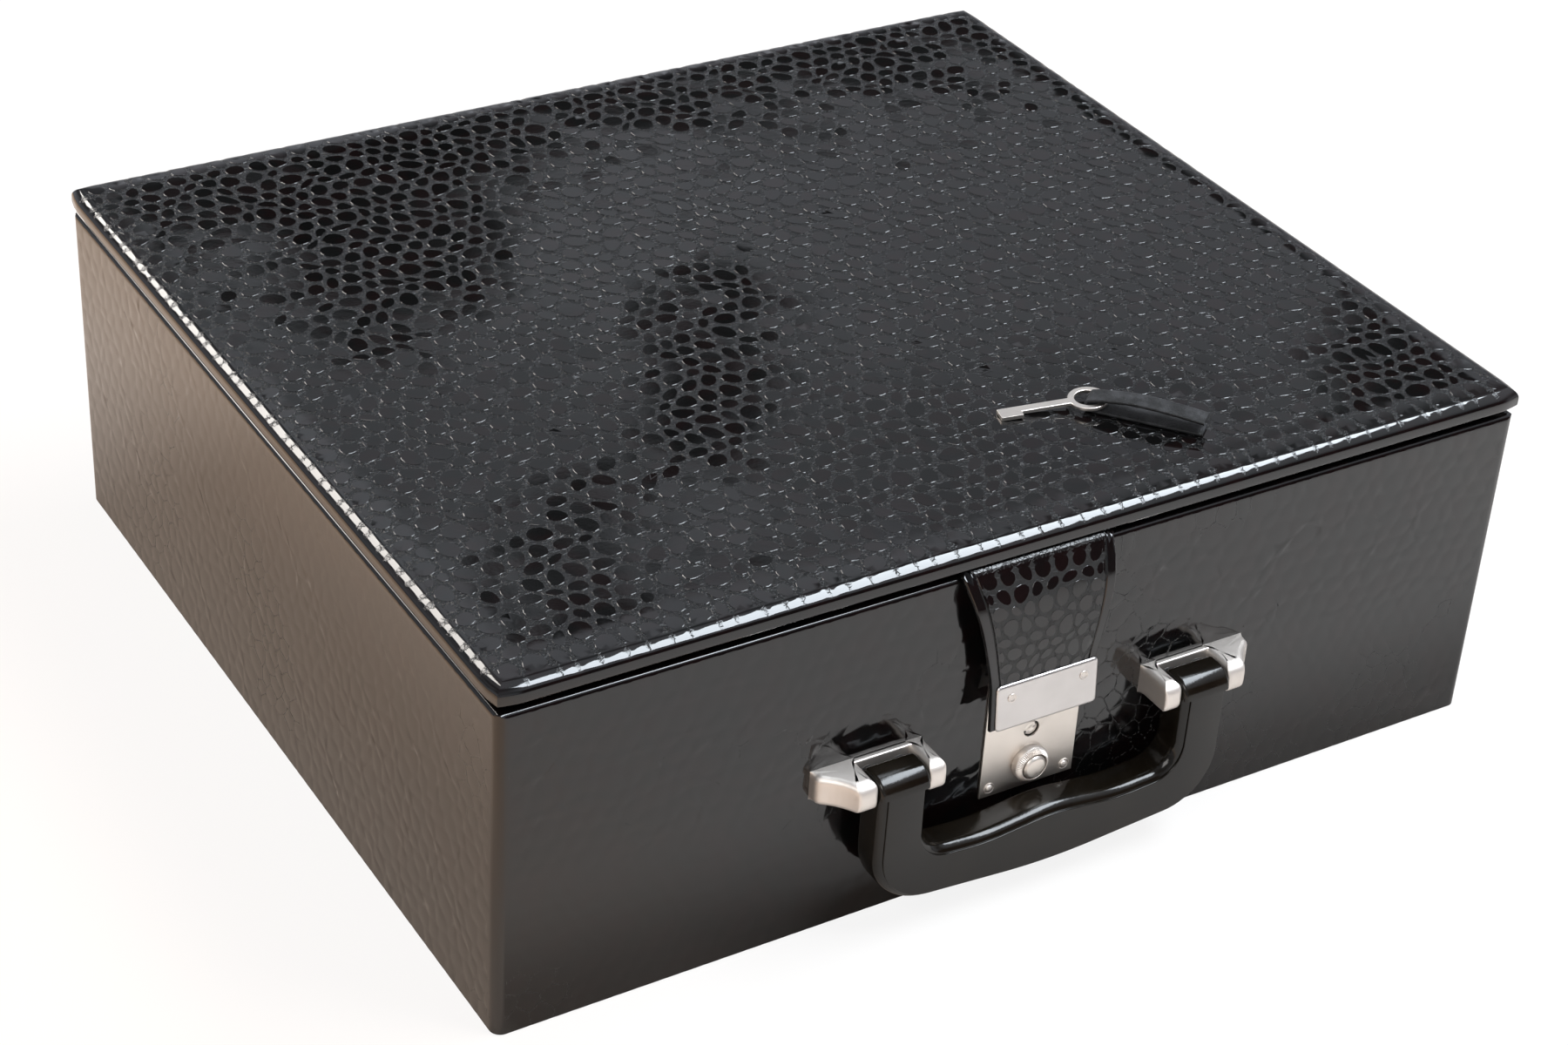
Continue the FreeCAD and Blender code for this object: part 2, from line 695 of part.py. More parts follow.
# Handle: two shells over a steel strap, with a knuckle on each pin
def handle():
    outer = slot_outer - d.side_gap
    inner = slot_inner + d.side_gap
    back = pin_y - d.handle_thickness / 2
    split = back + d.handle_thickness - d.front_shell
    front = back + d.handle_thickness
    half_outline = [
        (outer, pin_z),
        (outer, d.handle_shoulder),
        (0, d.handle_bottom),
    ]
    half_inside = [
        (0, d.grip_bump),
        (d.grip_low_place, d.grip_low),
        (inner, d.grip_corner),
        (inner, pin_z),
    ]
    outline = half_outline + [(-x, z) for x, z in half_outline[-2::-1]]
    outline += [(-x, z) for x, z in half_inside[::-1]] + half_inside[1:]

    def shell(label, start, length):
        piece = Piece(label).pad("XZ", start, length, polygon(*outline))
        spots = {
            d.handle_corner_radius: [(outer, d.handle_shoulder), (-outer, d.handle_shoulder)],
            d.handle_sweep_radius: [(0, d.handle_bottom)],
            d.grip_wave_radius: [(0, d.grip_bump), (d.grip_low_place, d.grip_low),
                                 (-d.grip_low_place, d.grip_low)],
            d.grip_corner_radius: [(inner, d.grip_corner), (-inner, d.grip_corner)],
        }
        for radius, places in spots.items():
            piece.round(radius, lines_along("y", *places))
        return piece

    middle = (outer + inner) / 2
    strap_out = middle + d.core_width / 2
    strap_in = middle - d.core_width / 2
    strap_low = d.core_grip - d.core_width / 2
    strap_high = d.core_grip + d.core_width / 2
    strap_top = pin_z - d.core_top_gap
    strap = polygon((-strap_out, strap_top), (-strap_out, strap_high), (strap_low - strap_out, strap_low),
                    (strap_out - strap_low, strap_low), (strap_out, strap_high), (strap_out, strap_top),
                    (strap_in, strap_top), (strap_in, strap_high), (-strap_in, strap_high),
                    (-strap_in, strap_top))

    def leg_end(edge):
        return near(edge.BoundBox.ZMin, pin_z)

    rear = shell("handle_back_shell", back, split - back)
    rear.bevel(d.handle_back_bevel, edges_in_plane("y", -back, leg_end))
    for start in (inner, -outer):
        rear.pad("YZ", start, outer - inner, circle(-pin_y, pin_z, d.handle_thickness / 2))
    below = pin_z - d.handle_thickness / 2
    rear.cut("XZ", split, d.front_shell, rectangle(inner, below, outer, pin_z),
             rectangle(-outer, below, -inner, pin_z))
    for start in (inner, -outer):
        rear.cut("YZ", start, outer - inner, circle(-pin_y, pin_z, d.pin_radius + d.running_gap))
    rear.cut("XZ", split - d.core_thickness, d.core_thickness, strap)
    face = shell("handle_front_shell", split, d.front_shell)
    face.round(d.handle_edge_radius, edges_in_plane("y", -front, leg_end))
    Piece("handle_core").pad("XZ", split - d.core_thickness, d.core_thickness, strap)


# Lock shell: plate, case with corner posts, bezel and barrel
rivet_z = (d.lock_plate_bottom + d.rivet_inset, plate_top - d.rivet_top_inset)
plate_face = half_depth + d.lock_plate


def rivet_places():
    return [(side * d.rivet_spread, z) for side in SIDES.values() for z in rivet_z]


catch_bottom = d.catch_place - d.catch_tooth
catch_low_x = d.flap_shift - d.catch_width / 2


def lock_shell():
    plate = Piece("lock_plate")
    plate.pad("XZ", half_depth, d.lock_plate,
              rectangle(-plate_half, d.lock_plate_bottom, plate_half, plate_top))
    margin = d.catch_slot_margin
    slot = rectangle(catch_low_x - margin, catch_bottom - 2 * margin,
                     catch_low_x + d.catch_width + margin, d.catch_place + d.catch_arm + margin)
    plate.cut("XZ", half_depth, d.lock_plate, slot, circle(0, d.keyhole_height, d.keyhole_radius),
              circle(0, d.button_height, d.button_radius + d.running_gap),
              *[shank_hole(x, z, d.rivet_radius) for x, z in rivet_places()])
    case = Piece("lock_case")
    case.pad("XZ", case_back, d.lock_case_depth, case_outline)
    inside = case_half - d.lock_case_wall
    case.cut("XZ", case_back + d.lock_case_wall, d.lock_case_depth - d.lock_case_wall,
             rectangle(-inside, case_bottom + d.lock_case_wall, inside, case_top - d.lock_case_wall))
    hollow = d.lock_case_depth - d.lock_case_wall
    for x, z in rivet_places():
        case.pad("XZ", case_back + d.lock_case_wall, hollow, many_sided(x, z, d.post_radius, TUBE_SIDES))
    case.cut("XZ", half_depth - d.rivet_length + d.lock_plate, d.rivet_length - d.lock_plate,
             *[shank_hole(x, z, d.rivet_radius) for x, z in rivet_places()])
    lug_top = d.latch_ear_top - d.latch_ear_height - d.spring_length
    case.pad("XZ", case_back + d.lock_case_wall, hollow,
             rectangle(-inside, lug_top - d.spring_lug, -arm_out - d.side_gap, lug_top))
    seats = [(x, -plate_face, z) for x, z in rivet_places()]
    fasteners("lock_rivets", seats, "-y", d.rivet_head_radius, d.rivet_head, d.rivet_radius, d.rivet_length)
    bezel = Piece("button_bezel")
    bezel.pad("XZ", plate_face, d.bezel_height, circle(0, 0, d.bezel_radius))
    bezel.cut("XZ", plate_face, d.bezel_height, circle(0, 0, d.button_radius + d.running_gap))
    tooth = d.bezel_radius * math.pi / d.bezel_notches / 2
    bezel.cut("XZ", plate_face + d.bezel_height - d.bezel_notch, d.bezel_notch,
              polygon((d.button_radius + d.bezel_lip, 0), (d.bezel_radius + d.slide_gap, -tooth),
                      (d.bezel_radius + d.slide_gap, tooth)))
    bezel.repeat_round(d.bezel_notches)
    bezel.place(FreeCAD.Placement(FreeCAD.Vector(0, 0, d.button_height.value), FreeCAD.Rotation()))
    barrel = Piece("key_barrel")
    barrel_back = case_back + d.lock_case_wall
    barrel.pad("XZ", barrel_back, latch_back - d.slide_gap - barrel_back,
               many_sided(0, d.keyhole_height, d.barrel_radius, BARREL_SIDES))
    barrel.cut("XZ", barrel_back, latch_back - d.slide_gap - barrel_back,
               circle(0, d.keyhole_height, d.plug_radius + d.running_gap))


# Lock works: button, latch, spring, key plug and lever share one plane behind the plate
latch_front = half_depth - d.slide_gap
latch_back = latch_front - d.latch_thickness
arm_in = d.latch_arm_place
arm_out = arm_in + d.latch_arm
cone_rest = d.button_radius - d.button_travel
foot_top = d.button_height - cone_rest - d.cone_gap
nose_top = d.catch_place - d.slide_gap
nose_high_x = catch_low_x + d.latch_nose - d.slide_gap


def lock_works():
    latch = Piece("latch")
    ear_out = arm_out + d.latch_ear
    ear_low = d.latch_ear_top - d.latch_ear_height
    nose_low = nose_top - d.latch_nose
    latch.pad("XZ", latch_back, d.latch_thickness,
              polygon((-arm_out, foot_top - d.latch_foot), (d.latch_foot_reach, foot_top - d.latch_foot),
                      (d.latch_foot_reach, foot_top), (-arm_in, foot_top), (-arm_in, nose_low),
                      (nose_high_x, nose_low), (nose_high_x, nose_top), (-arm_out, nose_top),
                      (-arm_out, d.latch_ear_top), (-ear_out, d.latch_ear_top), (-ear_out, ear_low),
                      (-arm_out, ear_low)))
    spring = Piece("latch_spring")
    spring_x = -arm_out - d.latch_ear / 2
    spring_y = -latch_back + d.spring_radius / 2
    spring_low = ear_low - d.spring_length
    spring.pad("XY", spring_low, d.spring_length, many_sided(spring_x, spring_y, d.spring_radius, TUBE_SIDES))
    spring.cut("XY", spring_low, d.spring_length, many_sided(spring_x, spring_y, d.spring_bore, TUBE_SIDES))

    button = Piece("push_button")
    cone_start = latch_front + d.button_travel
    cone_end = cone_start - d.button_radius + d.cone_tip
    face = plate_face + d.bezel_height + d.button_dome
    button.turn(polygon((-cone_end, 0), (-cone_end, d.cone_tip), (-cone_start, d.button_radius),
                        (d.button_bevel - face, d.button_radius), (-face, d.button_radius - d.button_bevel),
                        (-face, 0)))
    button.place(FreeCAD.Placement(FreeCAD.Vector(0, 0, d.button_height.value), FreeCAD.Rotation()))

    plug = Piece("key_plug")
    plug_back = case_back + d.lock_case_wall
    plug_face = half_depth - d.plug_recess
    plug.pad("XZ", plug_back, plug_face - plug_back, circle(0, d.keyhole_height, d.plug_radius))
    plug.cut("XZ", plug_face - d.key_slot_depth, d.key_slot_depth,
             rectangle(-d.key_slot / 2, d.keyhole_height - d.key_slot_width / 2,
                       d.key_slot / 2, d.keyhole_height + d.key_slot_width / 2))

    lever = Piece("key_lever")
    reach = nose_top - d.keyhole_height
    lever.pad("XZ", latch_back, d.latch_thickness, many_sided(0, 0, d.barrel_radius, BARREL_SIDES))
    lever.pad("XZ", latch_back, d.latch_thickness,
              rectangle(0, -d.lever_width / 2, reach - d.slide_gap, d.lever_width / 2))
    lever.cut("XZ", latch_back, d.latch_thickness, circle(0, 0, d.plug_radius))
    lever.place(FreeCAD.Placement(FreeCAD.Vector(0, 0, d.keyhole_height.value),
                                  FreeCAD.Rotation(FreeCAD.Vector(0, -1, 0), d.lever_rest.value)))


# Flap: modelled pressed home, then tilted to where it hangs
flap_y = half_depth + d.flap_out
flap_z = lid_bottom - d.seat_gap - d.flap_bead
anchor_front = d.flap_out - d.flap_bead - d.anchor_gap


def flap_tilt():
    hang = FreeCAD.Rotation(FreeCAD.Vector(-1, 0, 0), d.flap_rest_tilt.value)
    return FreeCAD.Placement(FreeCAD.Vector(), hang, FreeCAD.Vector(0, -flap_y.value, flap_z.value))


def flap():
    def across(half):
        return d.flap_shift - half, d.flap_shift + half

    top_low, top_high = across(d.flap_top_width / 2)
    mid_low, mid_high = across(d.flap_low_width / 2)
    hasp_low, hasp_high = across(d.hasp_width / 2)
    hasp_top = d.hasp_bottom + d.hasp_height
    rivets = [(x, hasp_top - d.hasp_rivet_drop) for x in across(d.hasp_rivet_spread)]
    rivet_holes = [shank_hole(x, z, d.rivet_radius) for x, z in rivets]
    back = flap_y
    middle = back + d.flap_backing
    front = middle + d.flap_face

    face = Piece("flap_face")
    face.pad("XZ", middle, d.flap_face,
             polygon((top_low, flap_z), (mid_low, hasp_top), (mid_low, d.hasp_bottom),
                     (mid_high, d.hasp_bottom), (mid_high, hasp_top), (top_high, flap_z)))
    face.pad("YZ", top_low, d.flap_top_width, circle(-flap_y, flap_z, d.flap_bead))
    face.cut("XZ", middle, d.flap_face, *rivet_holes)
    face.place(flap_tilt())

    lining = Piece("flap_backing")
    lining_top_z = flap_z - d.flap_backing_drop
    inset = d.flap_backing_inset
    lining.pad("XZ", back, d.flap_backing,
               polygon((top_low + 2 * inset, lining_top_z), (mid_low + inset, hasp_top),
                       (mid_low + inset, d.hasp_bottom), (mid_high - inset, d.hasp_bottom),
                       (mid_high - inset, hasp_top), (top_high - 2 * inset, lining_top_z)))
    lining.cut("XZ", back, d.flap_backing, *rivet_holes)
    lining.place(flap_tilt())

    hasp = Piece("hasp_plate")
    hasp.pad("XZ", front, d.hasp, rectangle(hasp_low, d.hasp_bottom, hasp_high, hasp_top))
    corners = [(x, z) for x in (hasp_low, hasp_high) for z in (d.hasp_bottom, hasp_top)]
    hasp.round(d.hasp_corner_radius, lines_along("y", *corners))
    hasp.cut("XZ", front, d.hasp, *rivet_holes)
    hasp.place(flap_tilt())

    catch = Piece("hasp_catch")
    base_low, base_high = across(d.catch_base_width / 2)
    base_bottom = hasp_top - d.hasp_rivet_drop - d.catch_base_height / 2
    catch.pad("XZ", back - d.catch_base, d.catch_base,
              rectangle(base_low, base_bottom, base_high, base_bottom + d.catch_base_height))
    tip = back - d.catch_reach
    root = -back + d.catch_base
    tooth = -tip - d.catch_tooth_thickness
    arm_top = d.catch_place + d.catch_arm
    catch.pad("YZ", catch_low_x, d.catch_width,
              polygon((root, d.catch_place), (tooth, d.catch_place), (tooth, catch_bottom),
                      (-tip, d.catch_place), (-tip, arm_top), (root, arm_top)))
    catch.cut("XZ", back - d.catch_base, d.catch_base, *rivet_holes)
    catch.place(flap_tilt())

    seats = [(x, -front - d.hasp, z) for x, z in rivets]
    stack = d.hasp + d.flap_face + d.flap_backing + d.catch_base
    fasteners("hasp_rivets", seats, "-y", d.rivet_head_radius, d.flat_head, d.rivet_radius, stack)
    NODES["hasp_rivets"].Placement = flap_tilt()

    block("flap_anchor", (top_low, -half_depth - anchor_front, lid_bottom - d.anchor_thickness),
          (top_high, -half_depth + d.anchor_depth, lid_bottom))


# Key and fob, lying on the lid
def on_lid(turn, pitch, x, y):
    lay = FreeCAD.Rotation(FreeCAD.Vector(0, 0, 1), turn)
    lift = FreeCAD.Rotation(FreeCAD.Vector(0, 1, 0), -pitch)
    return FreeCAD.Placement(FreeCAD.Vector(x, y, lid_top.value), lay * lift)


def key_and_fob():
    blade = d.key_blade_width / 2
    key = Piece("key")
    key.pad("XY", 0, d.key_thickness,
            polygon((0, blade), (0, blade - d.key_bit_width), (d.key_bit_length, blade - d.key_bit_width),
                    (d.key_bit_length, -blade), (d.key_length, -blade), (d.key_length, blade)))
    key.pad("XY", 0, d.key_thickness, circle(d.key_length, 0, d.bow_radius))
    key.cut("XY", 0, d.key_thickness, circle(d.key_length, 0, d.bow_hole_radius))
    tip_y = d.key_from_front - lid_y
    key.place(on_lid(d.key_turn.value, d.key_pitch.value, d.key_tip_x.value, tip_y.value))

    heading = math.radians(d.key_turn.value)
    bow_x = d.key_tip_x.value + d.key_length.value * math.cos(heading)
    bow_y = tip_y.value + d.key_length.value * math.sin(heading)
    strip = d.fob_strip
    half = strip / 2
    fob = Piece("key_fob")
    fob.pad("XZ", -d.fob_width / 2, d.fob_width,
            polygon((d.fob_length, 0), (-half, 0), (-half, d.fob_fold_height),
                    (d.fob_arch_place, d.fob_arch), (d.fob_length, d.fob_end_height),
                    (d.fob_length, d.fob_end_height - strip), (d.fob_arch_place, d.fob_arch - strip),
                    (half, d.fob_fold_height - strip), (half, strip), (d.fob_length, strip)))
    fob.place(on_lid(d.fob_turn.value, 0, bow_x, bow_y))


case_boards()
case_coverings()
case_linings()
lid_pieces()
for side, sign in SIDES.items():
    hinge(side, sign)
    bracket(side, sign)
hinge_screws()
bracket_screws()
handle()
lock_shell()
lock_works()
flap()
key_and_fob()
doc.recompute()

# Every object is sound before anything is written
for item in doc.Objects:
    if "Invalid" in item.State or "Error" in item.State:
        raise RuntimeError(f"{item.Name}: {item.State}")
for label, item in NODES.items():
    item.Label = label
    if item.Shape.isNull() or not item.Shape.isValid():
        raise RuntimeError(label + ": no valid shape")

os.makedirs("parts", exist_ok=True)
for label, item in NODES.items():
    item.Shape.exportStep(f"parts/{label}.step")
print(len(NODES), "pieces written")
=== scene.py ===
import json
import math

import bpy
import numpy as np
from mathutils import Matrix, Vector


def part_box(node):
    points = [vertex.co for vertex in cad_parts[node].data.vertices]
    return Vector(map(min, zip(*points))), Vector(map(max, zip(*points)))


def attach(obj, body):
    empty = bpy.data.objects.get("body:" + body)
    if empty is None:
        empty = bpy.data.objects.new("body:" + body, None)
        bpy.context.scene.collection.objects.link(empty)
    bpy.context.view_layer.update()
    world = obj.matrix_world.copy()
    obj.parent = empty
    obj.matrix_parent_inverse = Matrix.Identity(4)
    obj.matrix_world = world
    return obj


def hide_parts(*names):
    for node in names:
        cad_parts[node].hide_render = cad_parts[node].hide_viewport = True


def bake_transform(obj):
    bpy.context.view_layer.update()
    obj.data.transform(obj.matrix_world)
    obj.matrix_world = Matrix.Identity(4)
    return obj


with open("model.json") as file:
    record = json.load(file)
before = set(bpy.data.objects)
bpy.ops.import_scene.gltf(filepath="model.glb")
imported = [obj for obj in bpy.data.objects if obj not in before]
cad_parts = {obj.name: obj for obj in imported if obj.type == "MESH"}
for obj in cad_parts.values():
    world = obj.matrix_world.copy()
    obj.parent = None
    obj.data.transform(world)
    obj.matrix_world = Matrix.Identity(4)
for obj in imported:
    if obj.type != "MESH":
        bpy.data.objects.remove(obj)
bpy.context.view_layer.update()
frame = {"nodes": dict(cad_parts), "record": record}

# Lockable case in black scale-embossed leatherette, with nickel fittings and a swinging handle.
# The frame is the case's own: +X to the right, -Y to the front, +Z up. Shapes are in millimetres.

MM = 0.001
NODES = frame["nodes"]
PIVOTS = {joint["name"]: np.array(joint["pos_m"]) / MM for joint in frame["record"]["behaviour"]["joints"]
          if "pos_m" in joint}


def box_of(node):
    """Lowest and highest corner of a node, in millimetres."""
    low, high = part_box(node)
    return np.array(low) / MM, np.array(high) / MM


# Finishes

def operators(operation):
    """A Math operation as an operator and its reflected form."""
    return (lambda value, other: value.math(operation, value, other),
            lambda value, other: value.math(operation, other, value))


class Value:
    """A number that changes over a surface: arithmetic on it adds Math nodes to its tree."""

    __add__, __radd__ = operators("ADD")
    __sub__, __rsub__ = operators("SUBTRACT")
    __mul__, __rmul__ = operators("MULTIPLY")

    def __init__(self, nodes, socket):
        self.nodes = nodes
        self.socket = socket

    def math(self, operation, *terms):
        """A Math node's result."""
        return self.nodes.value("Math", {"operation": operation}, dict(enumerate(terms)))

    def over(self, level):
        """1 where the value is greater than a level, and 0 elsewhere."""
        return self.math("GREATER_THAN", self, level)

    def smooth(self, low, high):
        """0 below low, 1 above high, and a smooth step between."""
        return self.nodes.value("MapRange", {"interpolation_type": "SMOOTHSTEP"},
                                {"Value": self, "From Min": low, "From Max": high})


class Nodes:
    """A node tree under construction: one method adds any node."""

    def __init__(self, tree, coordinates):
        self.tree = tree
        self.tree.nodes.clear()
        self.place = self.node("TexCoord").outputs[coordinates]

    def node(self, kind, settings=None, sockets=None):
        """Add a node, named without its ShaderNode: first its settings, then its sockets' values or links."""
        made = self.tree.nodes.new("ShaderNode" + kind)
        for name, setting in (settings or {}).items():
            setattr(made, name, setting)
        for name, source in (sockets or {}).items():
            socket = made.inputs[name]
            source = source.socket if isinstance(source, Value) else source
            if isinstance(source, bpy.types.NodeSocket):
                self.tree.links.new(source, socket)
            elif socket.type == "RGBA":
                socket.default_value = (*source, 1)
            else:
                socket.default_value = source
        return made

    def value(self, kind, settings=None, sockets=None, output=0):
        """Add a node and take one of its outputs as a Value."""
        return Value(self, self.node(kind, settings, sockets).outputs[output])

    def attribute(self, name):
        """A mesh's own value at each point."""
        return self.value("Attribute", {"attribute_name": name}, output="Fac")

    def noise(self, scale, detail=3.0, rough=0.55, stretch=(1, 1, 1)):
        """Noise of about 1/scale metres, stretched along the axes."""
        spread = self.node("Mapping", None, {"Vector": self.place, "Scale": stretch}).outputs[0]
        return self.value("TexNoise", None,
                          {"Vector": spread, "Scale": scale, "Detail": detail, "Roughness": rough})

    def cells(self, scale, feature, output):
        """Irregular cells of about 1/scale metres."""
        return self.value("TexVoronoi", {"feature": feature}, {"Vector": self.place, "Scale": scale}, output)

    def blend(self, share, first, second):
        """Colour between first and second by share."""
        mix = self.node("Mix", {"data_type": "RGBA"}, {"Factor": share, 6: first, 7: second})
        return mix.outputs[2]

    def specks(self, scale, share):
        """Sparse specks: the middles of a few of the cells of a fine cell pattern."""
        near = self.cells(scale, "F1", "Distance")
        return (1 - near.smooth(0.05, 0.16)) * self.cells(scale, "F1", "Color").over(1 - share)

    def bump(self, height, depth, below=None):
        """Normal of a height field of the given depth in metres, on top of another bump."""
        under = {} if below is None else {"Normal": below}
        return self.node("Bump", None, {"Height": height, "Distance": depth, **under}).outputs[0]


class Finish(Nodes):
    """A material that paint() closes."""

    def __init__(self, name):
        self.material = bpy.data.materials.new(name)
        self.material.use_nodes = True
        super().__init__(self.material.node_tree, "Object")

    def paint(self, **sockets):
        """Close the finish with a Principled surface; names use _ for a space."""
        named = {name.replace("_", " "): source for name, source in sockets.items()}
        shader = self.node("BsdfPrincipled", None, named)
        self.node("OutputMaterial", None, {"Surface": shader.outputs[0]})
        return self.material


BLACK = (0.0022, 0.0021, 0.0021)
OXBLOOD = (0.0036, 0.0020, 0.0020)
DUST = (0.4, 0.38, 0.35)
LEATHER_IOR = 1.48


def leatherette(name, gloss, dull, crinkle, patches=(0.0, 0.01)):
    """Embossed patent leatherette: mirror scales over a dark red-brown black, duller creases crossed by a net
    of fine lines, dust and clouded gloss. Dull is the creases' added roughness, crinkle is the depth of the net,
    and patches is the range of a slow noise over which the creases begin to show."""
    f = Finish(name)
    crease = (1 - f.attribute("rise").smooth(0.0, 0.6)) * f.noise(16, 2).smooth(*patches)
    lines = 1 - f.cells(640, "DISTANCE_TO_EDGE", "Distance").smooth(0.0, 0.07)
    fine = 1 - f.cells(1900, "DISTANCE_TO_EDGE", "Distance").smooth(0.0, 0.16)
    cloud = f.noise(14, 2)
    dust = f.specks(150, 0.06)
    hide = f.blend(f.noise(90, 2).smooth(0.4, 0.65) * (1 - crease), BLACK, OXBLOOD)
    colour = f.blend(dust * 0.6, hide, DUST)
    rough = gloss + crease * (0.6 + lines * 0.4) * dull + cloud.smooth(0.45, 0.8) * 0.03 + dust * 0.3
    normal = f.bump(fine * crease, crinkle * 0.15, f.bump(lines * crease, crinkle))
    normal = f.bump(f.noise(420, 3), 0.000005, normal)
    return f.paint(Base_Color=colour, Roughness=rough, Normal=normal, IOR=LEATHER_IOR)


def flat_leatherette(name):
    """The same leatherette without scales of its own, as on the base: pebbled by its bump alone."""
    f = Finish(name)
    pebble = f.cells(150, "DISTANCE_TO_EDGE", "Distance").smooth(0.0, 0.16)
    colour = f.blend(f.noise(60, 3), BLACK, (0.014, 0.0135, 0.013))
    return f.paint(Base_Color=colour, Roughness=0.3 - pebble * 0.12, Normal=f.bump(pebble, 0.00015),
                   IOR=LEATHER_IOR)


def nickel(name, rough, tone, grain):
    """Satin nickel plate: fine directional grain, faint clouding and a few dark pits."""
    f = Finish(name)
    lines = f.noise(2600, 2, 0.6, grain)
    cloud = f.noise(60, 3)
    clouded = f.blend(cloud.smooth(0.35, 0.75) * 0.5, tone, tuple(0.86 * c for c in tone))
    colour = f.blend(f.specks(420, 0.05) * 0.6, clouded, (0.16, 0.14, 0.12))
    rough = rough + lines * 0.1 + cloud.smooth(0.5, 0.8) * 0.06
    return f.paint(Base_Color=colour, Roughness=rough, Metallic=1.0, Normal=f.bump(lines, 0.00002))


def plain_steel(name):
    """Mill-finish steel for the lock works, screws and pins."""
    f = Finish(name)
    mill = f.noise(900, 3, 0.5, (1, 1, 8))
    colour = f.blend(mill, (0.42, 0.42, 0.43), (0.56, 0.56, 0.57))
    return f.paint(Base_Color=colour, Roughness=0.28 + mill * 0.2, Metallic=1.0, Normal=f.bump(mill, 0.00002))


def handle_black(name):
    """Black handle shells: satin, with long faint scratches, cloudy wear and dust."""
    f = Finish(name)
    cloud = f.noise(45, 3)
    scratch = f.noise(700, 2, 0.6, (0.06, 1, 1))
    dull = f.blend(cloud.smooth(0.4, 0.8), (0.0045, 0.0034, 0.0022), (0.009, 0.0068, 0.0045))
    colour = f.blend(f.specks(220, 0.06) * 0.5, dull, (0.3, 0.28, 0.25))
    rough = 0.12 + cloud.smooth(0.35, 0.8) * 0.06 + scratch.smooth(0.55, 0.8) * 0.1
    normal = f.bump(f.noise(1100, 3), 0.00002, f.bump(scratch, 0.00002))
    return f.paint(Base_Color=colour, Roughness=rough, Normal=normal, IOR=1.36)


def velour(name, deep, lit):
    """Short velour lining: pile grain, brushed patches whose lighter colour is a painted sheen, and a soft sheen.
    """
    f = Finish(name)
    pile = f.noise(2200, 2, 0.7)
    brushed_sheen = f.noise(24, 4, 0.6, (1, 1.8, 1))
    # Painted sheen: the brushed patches are painted towards the lighter, lit colour.
    colour = f.blend(pile * 0.4 + brushed_sheen * 0.6, deep, lit)
    return f.paint(Base_Color=colour, Roughness=0.9 - pile * 0.1, Sheen_Weight=0.5, Sheen_Roughness=0.4,
                   Sheen_Tint=(0.6, 0.2, 0.2), Normal=f.bump(pile, 0.0003))


def bare_board(name):
    """Pressed board: fibres along X and small flecks."""
    f = Finish(name)
    fibre = f.noise(260, 4, 0.6, (0.15, 1, 1))
    colour = f.blend(fibre, (0.30, 0.20, 0.11), (0.52, 0.39, 0.25))
    return f.paint(Base_Color=colour, Roughness=0.85, Normal=f.bump(fibre, 0.0001))


def fob_hide(name):
    """The fob's leather: dull black, rubbed grey along its grain."""
    f = Finish(name)
    grain = f.cells(1300, "DISTANCE_TO_EDGE", "Distance").smooth(0.0, 0.12)
    rubbed = f.noise(180, 4, 0.65)
    colour = f.blend(rubbed.smooth(0.35, 0.75), (0.010, 0.010, 0.010), (0.034, 0.034, 0.036))
    return f.paint(Base_Color=colour, Roughness=0.42 + rubbed * 0.15, Normal=f.bump(grain, 0.00006),
                   Specular_IOR_Level=0.2)


LEATHER_LID = leatherette("leatherette_lid", 0.05, 0.18, 0.00012)
LEATHER_WALL = leatherette("leatherette_wall", 0.08, 0.35, 0.00008, (0.5, 0.66))
LEATHER_FLAP = leatherette("leatherette_flap", 0.05, 0.7, 0.0001)
LEATHER_BASE = flat_leatherette("leatherette_base")
NICKEL_CAST = nickel("nickel_cast", 0.45, (0.66, 0.61, 0.565), (1, 1, 1))
NICKEL_PLATE = nickel("nickel_plate", 0.32, (0.70, 0.645, 0.59), (0.05, 1, 1))
# The hasp's nickel is cooler than the plate's, and painted darker as a painted shade.
NICKEL_HASP_SHADED = nickel("nickel_hasp_shaded", 0.3, (0.53, 0.505, 0.49), (0.05, 1, 1))
STEEL = plain_steel("plain_steel")
HANDLE = handle_black("handle_black")
# The lining's second colour is the lighter tone of its painted sheen.
VELOUR = velour("velour_lining", (0.075, 0.008, 0.014), (0.19, 0.02, 0.032))
BOARD = bare_board("bare_board")
FOB = fob_hide("fob_hide")


# Shapes worked out as arrays, in millimetres

def outward(points, faces):
    """The faces, turned round if the closed shape's volume comes out negative."""
    volume = 0.0
    for part in faces:
        corner = points[part]
        for i in range(1, part.shape[1] - 1):
            volume += np.einsum("ij,ij->", corner[:, 0], np.cross(corner[:, i], corner[:, i + 1]))
    return faces if volume > 0 else [part[:, ::-1] for part in faces]


def strips(loops, closed=True):
    """Quads between each loop of vertex numbers and the next, closed around or open."""
    first, second = loops[:-1], loops[1:]
    quads = np.stack([first, np.roll(first, -1, 1), np.roll(second, -1, 1), second], -1)
    return (quads if closed else quads[:, :-1]).reshape(-1, 4)


def fan(loop, centre):
    """Triangles from a closed loop of vertex numbers to one centre."""
    return np.stack([loop, np.roll(loop, -1), np.full(len(loop), centre)], -1)


def carried(loops, ring=False, middles=None):
    """A profile carried along a path: one loop of points for each step, joined by quads. The ends are closed by
    fans to their middles, or the path itself is closed to a ring."""
    loops = np.asarray(loops, float)
    numbers = np.arange(loops[..., 0].size).reshape(loops.shape[:2])
    points = loops.reshape(-1, 3)
    if ring:
        return points, outward(points, [strips(np.concatenate([numbers, numbers[:1]]))])
    points = np.concatenate([points, loops[[0, -1]].mean(1) if middles is None else middles])
    ends = np.concatenate([fan(numbers[0][::-1], len(points) - 2), fan(numbers[-1], len(points) - 1)])
    return points, outward(points, [strips(numbers), ends])


